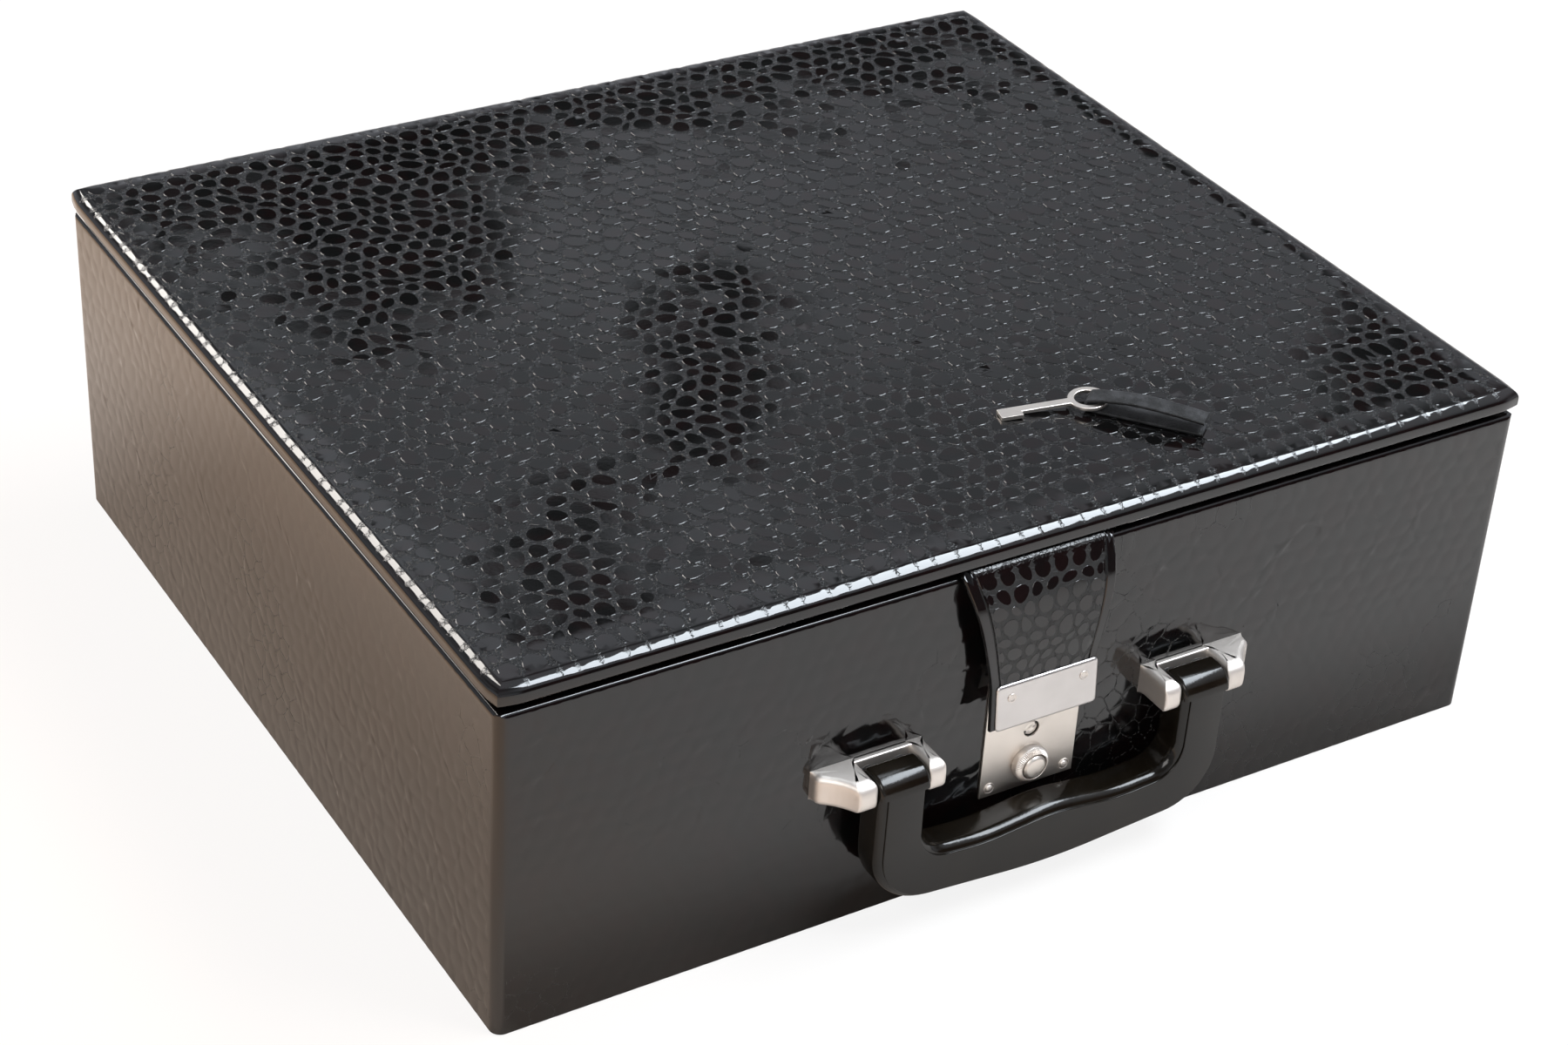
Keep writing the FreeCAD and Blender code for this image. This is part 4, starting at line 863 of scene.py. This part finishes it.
def handle_pieces():
    """The back shell with round shoulders and a knuckle round each pin, and the narrower front plate let into
    it. A knuckle's outline is a quarter circle in front and a rounded corner behind, carried along the pin and
    smaller at both ends by the fall of a quarter circle."""
    pin = PIVOTS["handle_swing"]
    _, rear_high = box_of("handle_back_shell")
    face_low, _ = box_of("handle_front_shell")
    outer, inner = grip_lines()
    back, front = -rear_high[1], -face_low[1]
    shell = carried(grip_section(outer, inner, back, front - PLATE_STEP, SHELL_EDGES))
    plate = carried(grip_section(outer, inner, front - PLATE_THICK, front, PLATE_EDGES, PLATE_INSET))
    ease = np.linspace(0, np.pi / 2, 7)
    fall = KNUCKLE_EDGE * (1 - np.cos(ease))
    stop = np.concatenate([HANDLE_INNER + fall, rear_high[0] - fall[::-1]])
    drop = KNUCKLE_EDGE * (1 - np.sin(ease))
    radius = front + pin[1] - np.concatenate([drop, drop[::-1]])
    swing = np.linspace(0, np.pi / 2, 17)
    flat = 1 - KNUCKLE_CORNER
    ahead = np.concatenate([np.cos(swing), -flat - KNUCKLE_CORNER * np.sin(swing), [-1]])
    above = np.concatenate([np.sin(swing), flat + KNUCKLE_CORNER * np.cos(swing), [0]])
    loops = np.stack(np.broadcast_arrays(stop[:, None], pin[1] - radius[:, None] * ahead,
                                         pin[2] + radius[:, None] * above), -1)
    knuckles = [carried(loops * (side, 1, 1)) for side in (-1, 1)]
    surface("handle_back", joined(shell, *knuckles), "handle", HANDLE, "handle_cover", ("handle_back_shell",),
            crisp=50)
    surface("handle_front", plate, "handle", HANDLE, "handle_cover", ("handle_front_shell",), crisp=50)


LUG_EASE, LUG_TOP, LUG_BOTTOM, LUG_BLEND = 2.0, 4.8, 4.2, 2.0
LUG_INNER, LUG_SLOT, LUG_OUTER, LUG_PLATE = 44.5, 61.9, 67.8, 2.0
LUG_WAIST, LUG_TIP, LUG_MIDDLE = (70.3, 8.4), 4.0, 5
LUG_INNER_ROUNDS, LUG_OUTER_ROUNDS = (1.6, 1.3), (1.4, 2.0, 20.0, 3.0)


def cast_lug(outline, radii, low, high, middle):
    """A cast lug: its rounded plan is carried upwards. The plan draws in at the bottom and the top by the fall
    of a quarter circle, and the nose's side profile limits how far it stands out at each height: a soft lesser
    of the two, half their sum less half the root of their squared difference and a blend's square."""
    line = eased_line(outline, radii, 7)
    count = 90
    plan = stations(line, [0, line[1][-1]], [count - 1])
    way = np.gradient(plan, axis=0)
    way /= np.linalg.norm(way, axis=1)[:, None]
    inward = np.column_stack([way[:, 1], -way[:, 0]])
    free = np.clip(plan[:, 1:] / LUG_EASE, 0, 1)
    turn = np.linspace(0, np.pi / 2, 12)
    climb = 1 - np.cos(turn)
    heights = np.concatenate([low[2] + LUG_BOTTOM * climb, high[2] - LUG_TOP * climb[::-1]])
    reach = high[1] - low[1]
    loops = []
    for height in heights:
        inset, nose = 0.0, reach
        for gap, radius in ((height - low[2], LUG_BOTTOM), (high[2] - height, LUG_TOP)):
            inset += LUG_EASE - math.sqrt(LUG_EASE ** 2 - max(LUG_EASE - gap, 0) ** 2)
            nose -= radius - math.sqrt(radius ** 2 - max(radius - gap, 0) ** 2)
        drawn = plan + inward * free * inset
        out = (drawn[:, 1] + nose - np.hypot(drawn[:, 1] - nose, LUG_BLEND)) / 2
        out = np.where(plan[:, 1] > 0, np.maximum(out, 0), 0)
        loops.append(np.column_stack([drawn[:, 0], high[1] - out, np.full(count, height)]))
    middles = [(middle[0], high[1] - middle[1], height) for height in heights[[0, -1]]]
    return carried(loops, middles=middles)


def bracket_casting(side, way):
    """A handle bracket: a plain inner lug, an outer lug that flares along the wall in a hollow sweep, and the
    plate between them behind the knuckle. Way is 1 for the right one and -1 for its mirror image."""
    low, high = box_of("bracket_right")
    reach = high[1] - low[1]
    block = [(low[0], 0), (low[0], reach), (LUG_INNER, reach), (LUG_INNER, 0)]
    inner = cast_lug(block, LUG_INNER_ROUNDS, low, high, ((low[0] + LUG_INNER) / 2, LUG_MIDDLE))
    sweep = [(LUG_SLOT, 0), (LUG_SLOT, reach), (LUG_OUTER, reach), LUG_WAIST, (high[0], LUG_TIP), (high[0], 0)]
    outer = cast_lug(sweep, LUG_OUTER_ROUNDS, low, high, ((LUG_SLOT + LUG_OUTER) / 2, LUG_MIDDLE))
    section = round_rectangle((LUG_PLATE / 2, (high[2] - low[2]) / 2 - 0.1), 0.5, 4, 4)
    centre = np.array([high[1] - LUG_PLATE / 2, (low[2] + high[2]) / 2])
    plate = carried([np.column_stack([np.full(len(section), x), centre + section])
                     for x in (LUG_INNER - 1, LUG_SLOT + 1)])
    points, faces = joined(inner, outer, plate)
    points = points * (way, 1, 1)
    faces = faces if way > 0 else [part[:, ::-1] for part in faces]
    surface(f"bracket_{side}_casting", (points, faces), "box", NICKEL_CAST, "nickel", (f"bracket_{side}",),
            crisp=55)


# Lock and small fittings

FRONT = (0, -1, 0)
BEZEL_BORE, BEZEL_TEETH, BEZEL_TOOTH = 4.3, 60, 0.32
BUTTON_NECK, BUTTON_DOME, BUTTON_GAP = 3.6, 0.45, 0.3
HINGE_SCREWS = (-117, -93, 93, 117)
BRACKET_SCREWS = (-58.5, -47.9, 47.9, 58.5)
SCREW_HEAD, BRACKET_HEAD, PLUG_HEAD = (2.4, 0.8), (2.4, 0.2), (2.3, 0.5)
# Piece, node, body, places along X, seat (y, z), axis, head and shank
SCREWS = (("hinge_wall_screws", "hinge_box_screws", "box", HINGE_SCREWS, (156.2, 98.8), (0, 1, 0), SCREW_HEAD, 5.5),
          ("hinge_lid_heads", "hinge_lid_screws", "lid", HINGE_SCREWS, (151.0, 112.3), (0, 0, -1), SCREW_HEAD, 3.5),
          ("bracket_heads", "bracket_screws", "box", BRACKET_SCREWS, (-157.0, 54.4), FRONT, BRACKET_HEAD, 5.5))
SLOT_ASIDE = (0.8, 0.36, 0.48)
RIVET, LOCK_RIVET_HEAD = 1.5, 1.9
DOMED = ((0.9, -0.4), (1, 0), (1, 0.22), (0.93, 0.36), (0.84, 0.3), (0.74, -0.15), (0.68, 0.1), (0.6, 0.62),
         (0.42, 0.9), (0.2, 0.985), (0.05, 1))
DISHED = ((0.9, -0.8), (1, 0), (0.97, 0.8), (0.88, 1), (0.76, 1), (0.62, 0.2), (0.4, 0.05), (0.1, 0.15))


def ring_teeth(part, centre, depth, teeth, band):
    """Teeth round a turned shape: points whose radius lies in the band move in and out with the angle."""
    points, faces = part
    x, z = points[:, 0] - centre[0], points[:, 2] - centre[2]
    radius = np.hypot(x, z)
    tooth = np.cos(teeth * np.arctan2(z, x))
    inside = (radius > band[0]) & (radius < band[1])
    scale = 1 - inside * depth * (1 - tooth) / 2 / np.maximum(radius, 1e-6)
    moved = points.copy()
    moved[:, 0] = centre[0] + x * scale
    moved[:, 2] = centre[2] + z * scale
    return moved, faces


def lock_fittings():
    """Turned fittings of the lock: a ring with a toothed bevel, and a domed button."""
    low, high = box_of("button_bezel")
    centre = np.array([(low[0] + high[0]) / 2, high[1], (low[2] + high[2]) / 2])
    height = high[1] - low[1]
    outer = high[0] - centre[0]
    profile = [(BEZEL_BORE, 0), (outer - 0.1, 0), (outer, 0.15), (outer, height - 1.7),
               (outer - 0.1, height - 1.45), (outer - 0.2, height - 1.3), (outer - 0.75, height - 0.7),
               (outer - 1.3, height - 0.12), (outer - 1.4, height), (BEZEL_BORE + 0.12, height),
               (BEZEL_BORE, height - 0.15)]
    ring = turned(profile, centre, FRONT, 4 * BEZEL_TEETH, ring=True)
    toothed = ring_teeth(ring, centre, BEZEL_TOOTH, BEZEL_TEETH, (outer - 1.35, outer - 0.15))
    surface("bezel_ring", toothed, "box", NICKEL_CAST, "nickel", ("button_bezel",), crisp=40)

    low, high = box_of("push_button")
    radius = (high[0] - low[0]) / 2 - BUTTON_GAP
    tall = high[1] - low[1]
    dome = [(radius - 0.5 - (radius - 0.6) * t, tall - BUTTON_DOME * (1 - math.sqrt(1 - (1 - t) ** 2)))
            for t in np.linspace(0, 1, 10)[1:]]
    profile = [(0.6, 0), (radius, BUTTON_NECK), (radius, tall - 1.0), (radius - 0.1, tall - 0.72),
               (radius - 0.45, tall - 0.55), (radius - 0.5, tall - BUTTON_DOME), *dome]
    button = turned(profile, (0, high[1], (low[2] + high[2]) / 2), FRONT, 64)
    surface("button_dome", button, "button", NICKEL_PLATE, "nickel", ("push_button",), crisp=50)


def heads(name, seats, axis, radius, height, body, stands_for, dish=False):
    """Round heads: a thin ringed seat and a dome, or a shallow dish for a flat rivet."""
    profile = np.array(DISHED if dish else DOMED) * (radius, height)
    surface(name, copies(turned(profile, (0, 0, 0), axis, 28), seats), body, NICKEL_CAST, "nickel", stands_for,
            crisp=60)


def slotted_screws(name, seats, axis, radius, height, length, body, stands_for, material=None, half_slot=0.3):
    """Slotted screws: a domed head on a plain shank, with the points in a band across the head set lower."""
    dome = [(radius * math.cos(t * np.pi / 2), height * (0.25 + 0.75 * math.sin(t * np.pi / 2)))
            for t in np.linspace(0, 1, 9)[:-1]]
    profile = [(0.3, -length), (radius * 0.45, -length + 1.2), (radius * 0.45, 0), (radius * 0.95, 0),
               (radius, height * 0.12), *dome, (radius * 0.08, height)]
    points, faces = turned(profile, (0, 0, 0), axis, 48)
    axis = np.array(axis, float)
    up = points @ axis
    across = points @ np.cross(axis, SLOT_ASIDE)
    slot = (np.abs(across) < half_slot) & (up > 0.3 * height)
    points = points - axis * np.where(slot, 0.55 * height, 0)[:, None]
    surface(name, copies((points, faces), seats), body, material or STEEL,
            "nickel" if material else "steel", stands_for, crisp=40)


def rivet_ends(node, axis):
    """Middles of a node's first and last rivet along an axis."""
    low, high = box_of(node)
    return low[axis] + RIVET, high[axis] - RIVET


# Key fob

FOB_TURN = math.radians(-49.8)
FOB_SECTION = (3.6, 0.5)
KEY_BOW = np.array([46.505, -105.488])
FOB_LINE = ((36.5, 0.5), (36.0, 0.5), (22.0, 0.5), (4.0, 0.5), (0.7, 0.75), (0.0, 1.9), (0.05, 2.7), (0.9, 3.7),
            (5.0, 4.5), (15.0, 5.6), (26.0, 5.2), (36.0, 4.3), (36.5, 4.26))


def smooth_line(points, steps):
    """A Catmull-Rom line through all but the end points: cubic pieces whose slopes join the neighbours."""
    points = np.asarray(points, float)
    t = np.linspace(0, 1, steps, endpoint=False)[:, None, None]
    a, b, c, e = points[:-3], points[1:-2], points[2:-1], points[3:]
    line = (2 * b + (c - a) * t + (2 * a - 5 * b + 4 * c - e) * t ** 2 + (3 * b - a - 3 * c + e) * t ** 3) / 2
    return np.concatenate([line.transpose(1, 0, 2).reshape(-1, 2), points[-2:-1]])


def fob_strip():
    """The fob: a flat strip with round edges carried along a line that lies on the lid, folds up through the
    key's bow and arches back over itself."""
    lid = box_of("lid_covering")[1][2]
    line = smooth_line(FOB_LINE, 8)
    along = np.gradient(line, axis=0)
    along /= np.linalg.norm(along, axis=1)[:, None]
    ring = round_rectangle(FOB_SECTION, 0.42, 5, 5)
    raised = line[:, None] + ring[None, :, 1:] * np.stack([-along[:, 1], along[:, 0]], -1)[:, None]
    heading = np.array([math.cos(FOB_TURN), math.sin(FOB_TURN)])
    aside = np.array([-heading[1], heading[0]])
    plan = KEY_BOW + raised[..., :1] * heading + ring[None, :, :1] * aside
    loops = np.concatenate([plan, lid + raised[..., 1:]], -1)
    surface("fob_strap", carried(loops), "lid", FOB, "leatherette", ("key_fob",), crisp=60)


# Panels, the hasp, and nodes shown as they are

HASP_FACE, HASP_THICK, HASP_HALF, HASP_DROP, HASP_RIVET_DROP = 2.5, 0.8, 7.6, 45.0, 42.0
HASP_RIM = ((0.5, 0.0), (0.1, 0.0), (0.0, 0.1), (0.03, 0.25), (0.15, 0.45), (0.4, 0.65), (0.8, 0.78))
FACE_SHARES = (0.97, 0.85, 0.6, 0.3, 0.05)
STEEL_NODES = ("handle_pin", "handle_core", "hinge_left_pin", "hinge_right_pin", "lock_case", "latch",
               "key_barrel", "key_lever")


def plate_loops(half, corner, rim, thick):
    """A plate's outlines and their heights: rounded rectangles go round its rim, each with its inset and height,
    and then shrink over its face."""
    plans = [round_rectangle(half - inset, corner - inset) for inset, _ in rim]
    plans += [plans[-1] * share for share in FACE_SHARES]
    return np.array(plans), np.array([height for _, height in rim] + [thick] * len(FACE_SHARES))[:, None]


def lined_panel(name, node, axis, way, body, material=None, slot="lining"):
    """A covered panel: a plate with a soft rim, on the box of its node."""
    low, high = box_of(node)
    others = [i for i in range(3) if i != axis]
    half = (high - low)[others] / 2
    middle = (high + low)[others] / 2
    thick = high[axis] - low[axis]
    rim = ((0.5, 0.0), (0.12, 0.1), (0.0, 0.35), (0.0, thick - 0.5), (0.15, thick - 0.16), (0.5, thick - 0.03))
    plans, heights = plate_loops(half, 1.2, rim, thick)
    points = np.zeros((*plans.shape[:2], 3))
    points[..., others] = plans + middle
    points[..., axis] = (low[axis] if way > 0 else high[axis]) + way * heights
    surface(name, carried(points), body, material or VELOUR, slot, (node,), crisp=70)


def hasp_face():
    """The hasp: a plate whose front edge is rounded, hung on the flap's plane."""
    low, high = box_of("hasp_plate")
    middle = (low[0] + high[0]) / 2
    plans, heights = plate_loops(np.array([high[0] - middle, HASP_HALF]), 1.5, HASP_RIM, HASP_THICK)
    spot = PIVOTS["flap_swing"] * (0, 1, 1) + (middle, 0, 0)
    points = (spot + plans[..., :1] * (1, 0, 0) + (HASP_FACE - HASP_THICK + heights)[..., None] * FLAP_OUT
              + (HASP_DROP + plans[..., 1:]) * FLAP_DOWN)
    surface("hasp_front", carried(points), "flap", NICKEL_HASP_SHADED, "nickel", ("hasp_plate",), crisp=60)


def dress(node, material):
    """A node shown as it is, in one finish."""
    NODES[node].data.materials.clear()
    NODES[node].data.materials.append(material)


def soften(node, width, material):
    """A rigid node with its edges eased: its loose triangles are joined and its sharp edges bevelled."""
    item = NODES[node]
    weld = item.modifiers.new("weld", "WELD")
    weld.merge_threshold = 0.01 * MM
    bevel = item.modifiers.new("bevel", "BEVEL")
    bevel.width = width * MM
    bevel.segments = 3
    bevel.limit_method = "ANGLE"
    bevel.angle_limit = math.radians(35)
    bevel.harden_normals = True
    dress(node, material)


lid_cover()
wall_cover()
flap_leather()
handle_pieces()
lock_fittings()
fob_strip()

for side, way in (("left", -1), ("right", 1)):
    bracket_casting(side, way)

lock_face = box_of("lock_plate")[0][1]
lock_seats = [(x, lock_face, z) for x in rivet_ends("lock_rivets", 0) for z in rivet_ends("lock_rivets", 2)]
heads("lock_rivet_heads", lock_seats, FRONT, LOCK_RIVET_HEAD, 0.7, "box", ("lock_rivets",))
hasp_spot = PIVOTS["flap_swing"] + HASP_FACE * FLAP_OUT + HASP_RIVET_DROP * FLAP_DOWN
hasp_seats = [(x, *hasp_spot[1:]) for x in rivet_ends("hasp_rivets", 0)]
heads("hasp_rivet_heads", hasp_seats, FLAP_OUT, RIVET, 0.3, "flap", ("hasp_rivets",), dish=True)
for name, node, body, places, seat, axis, head, shank in SCREWS:
    slotted_screws(name, [(x, *seat) for x in places], axis, *head, shank, body, (node,))
slotted_screws("plug_face", [(0, -154.9, box_of("key_plug")[1][2] - 2.5)], FRONT, *PLUG_HEAD, 4.0,
               "key_works", ("key_plug",), NICKEL_PLATE, 0.45)
hasp_face()

lined_panel("floor_velour", "floor_lining", 2, 1, "box")
for place, axis, way in (("front", 1, 1), ("back", 1, -1), ("left", 0, 1), ("right", 0, -1)):
    lined_panel(f"{place}_velour", f"lining_{place}", axis, way, "box")
lined_panel("lid_velour", "lid_lining", 2, -1, "lid")
lined_panel("base_leather", "base_covering", 2, -1, "box", LEATHER_BASE, "leatherette")

for side in ("left", "right"):
    soften(f"hinge_{side}_box_leaf", 0.25, NICKEL_PLATE)
    soften(f"hinge_{side}_lid_leaf", 0.25, NICKEL_PLATE)
soften("lock_plate", 0.2, NICKEL_PLATE)
soften("hasp_catch", 0.2, STEEL)
soften("key", 0.25, NICKEL_PLATE)
for node in NODES:
    if node.endswith("_board"):
        dress(node, BOARD)
    elif node.startswith(STEEL_NODES):
        dress(node, STEEL)


# Floor

# The last floor colour is a painted shade, laid along the front's foot for the pieces to mirror.
FLOOR_PLAIN, FLOOR_WARM, FLOOR_SHADE = (0.71, 0.68, 0.65), (0.89, 0.62, 0.43), (0.05, 0.03, 0.02)
GLOW_WARM, WHITE = (1.0, 0.72, 0.5), (1, 1, 1)
SEEN_GLOW, MIRROR_GLOW = 0.86, 0.12
FOOT_SHADE_DEPTH, FOOT_SHADE_START = (-0.215, -0.16), (-0.178, -0.165)


def studio_floor():
    """A pale sheet, white to the camera. Pieces mirror it warmer, most to the left, and darker along the foot of
    the front, where painted shade lies on it."""
    bpy.ops.mesh.primitive_plane_add(size=8)
    floor = bpy.context.object
    floor.name = "floor"
    f = Finish("floor_white")
    rays = f.node("LightPath").outputs
    seen, mirrored, through = (Value(f, rays[f"Is {kind} Ray"]) for kind in ("Camera", "Glossy", "Transmission"))
    right, back, _ = (Value(f, socket) for socket in f.node("SeparateXYZ", None, {0: f.place}).outputs)
    left = f.noise(3, 2) * 0.1 - right - 0.18
    # Painted shade: the floor is darkened along the foot of the front for every ray but the camera's, and mirrors
    # less glow there.
    foot = back.smooth(*FOOT_SHADE_DEPTH) * right.smooth(*FOOT_SHADE_START) * (1 - seen) * 0.5
    sheet = f.blend(left.smooth(-0.1, 0.25), FLOOR_PLAIN, FLOOR_WARM)
    paper = f.node("BsdfPrincipled", None, {
        "Base Color": f.blend(foot, sheet, FLOOR_SHADE), "Roughness": 0.9, "Specular IOR Level": 0.1})
    glow = f.node("Emission", None, {"Color": f.blend(seen, GLOW_WARM, WHITE), "Strength": 1.0})
    share = seen * SEEN_GLOW + mirrored * (MIRROR_GLOW - foot * MIRROR_GLOW) + through * MIRROR_GLOW
    mixed = f.node("MixShader", None, {0: share, 1: paper.outputs[0], 2: glow.outputs[0]})
    f.node("OutputMaterial", None, {"Surface": mixed.outputs[0]})
    floor.data.materials.append(f.material)


studio_floor()

# Camera at the photograph's place

EYE = Vector((-0.476645, -0.753821, 0.610812))
TARGET = Vector((0.0219, 0.0195, 0.0122))
ROLL = math.radians(3.71)
LENS, SENSOR = 73.744, 36

ahead = (TARGET - EYE).normalized()
side = ahead.cross(Vector((0, 0, 1))).normalized()
up = side.cross(ahead)
across = side * math.cos(ROLL) + up * math.sin(ROLL)
upright = up * math.cos(ROLL) - side * math.sin(ROLL)
camera = bpy.data.objects.new("camera", bpy.data.cameras.new("camera"))
camera.data.lens = LENS
camera.data.sensor_width = SENSOR
camera.matrix_world = Matrix((across, upright, -ahead)).transposed().to_4x4()
camera.location = EYE
bpy.context.scene.collection.objects.link(camera)
bpy.context.scene.camera = camera


# Light

def softbox(name, place, toward, size, power, colour):
    """A rectangular soft lamp at a place, turned toward a point."""
    lamp = bpy.data.lights.new(name, "AREA")
    lamp.shape = "RECTANGLE"
    lamp.size, lamp.size_y = size
    lamp.energy = power
    lamp.color = colour
    holder = bpy.data.objects.new(name, lamp)
    holder.location = place
    holder.rotation_euler = (Vector(toward) - Vector(place)).to_track_quat("-Z", "Y").to_euler()
    bpy.context.scene.collection.objects.link(holder)


softbox("overhead", (0.65, -0.35, 1.35), (0.05, -0.05, 0.1), (1.25, 0.48), 40, (0.86, 0.93, 1.0))
softbox("back_left", (-0.55, 1.18, 1.04), (0, 0, 0.1), (0.5, 0.6), 14, (1.0, 0.95, 0.9))
softbox("front_left", (-1.2, -1.0, 1.3), (0, 0, 0.05), (1.0, 0.8), 16, (1.0, 0.98, 0.95))


def heading(azimuth, height):
    """A direction: azimuth from +Y towards +X, and height above level, in degrees."""
    a, h = math.radians(azimuth), math.radians(height)
    return math.sin(a) * math.cos(h), math.cos(a) * math.cos(h), math.sin(h)


# Azimuth, height, inner and outer radius of each patch in degrees, and a glow's strength
BACK_WALL, RED_PATCH = (34, 31, 12, 18), (148, 12, 14, 24)
GLOWS = ((105, 57, 8, 30, 0.9), (34, 48, 4, 11, 0.5), (15, 40, 3, 9, 0.6), (150, 43, 5, 15, 0.55))
SCREENS = ((24.3, 27.7, 1.5, 3.0), (31.1, 30.1, 0.7, 1.7), (30.7, 31.3, 0.6, 1.6), (28.3, 34.2, 0.8, 1.7),
           (46.8, 28.7, 2.2, 3.6))
SCREEN_DARK, RED_SHARE = 0.97, 0.92
ROOM_TINT, RED_TINT = (0.95, 0.99, 1.08), (0.058, 0.008, 0.008)


def studio_world():
    """Soft surroundings: a pale back wall with a dark foot and soft dark screens before it, a clouded grey room
    with a few glows elsewhere, and a dark red patch that the flap mirrors. The camera sees white."""
    world = bpy.data.worlds.new("studio")
    bpy.context.scene.world = world
    world.use_nodes = True
    w = Nodes(world.node_tree, "Generated")

    def patch(azimuth, height, inner, outer):
        """1 within the inner angle of a direction, 0 beyond the outer one, and a smooth step between."""
        along = w.value("VectorMath", {"operation": "DOT_PRODUCT"},
                        {0: w.place, 1: heading(azimuth, height)}, "Value")
        return along.smooth(math.cos(math.radians(outer)), math.cos(math.radians(inner)))

    aside, _, rise = (Value(w, socket) for socket in w.node("SeparateXYZ", None, {0: w.place}).outputs)

    def above(low, high):
        """0 under the low height, 1 over the high one, in degrees."""
        return rise.smooth(*(math.sin(math.radians(h)) for h in (low, high)))

    room = 0.2 + w.noise(3.2, 2).smooth(0.42, 0.6) * 0.3 + (1 - above(4, 24)) * 0.25
    wall = patch(*BACK_WALL)
    haze = above(29.3, 31.3) * (1 - above(32.0, 34.5))
    pale = 0.68 - haze * 0.17 + above(32.2, 34.5) * 0.12 - aside.smooth(0.42, 0.53) * 0.15
    lit = pale * (0.05 + (rise + aside * 0.234).smooth(0.545, 0.554) * 0.95)
    level = room * (1 - wall) + wall * lit
    for screen in SCREENS:
        level = level * (1 - patch(*screen) * SCREEN_DARK)
    for *glow, strength in GLOWS:
        level = level + patch(*glow) * strength
    grey = w.blend(level, (0, 0, 0), ROOM_TINT)
    colour = w.blend(patch(*RED_PATCH) * RED_SHARE, grey, RED_TINT)
    seen = w.blend(w.value("LightPath", output="Is Camera Ray"), colour, WHITE)
    shader = w.node("Background", None, {"Color": seen, "Strength": 1.0})
    w.node("OutputWorld", None, {"Surface": shader.outputs[0]})


studio_world()
bpy.context.scene.view_settings.view_transform = "Standard"
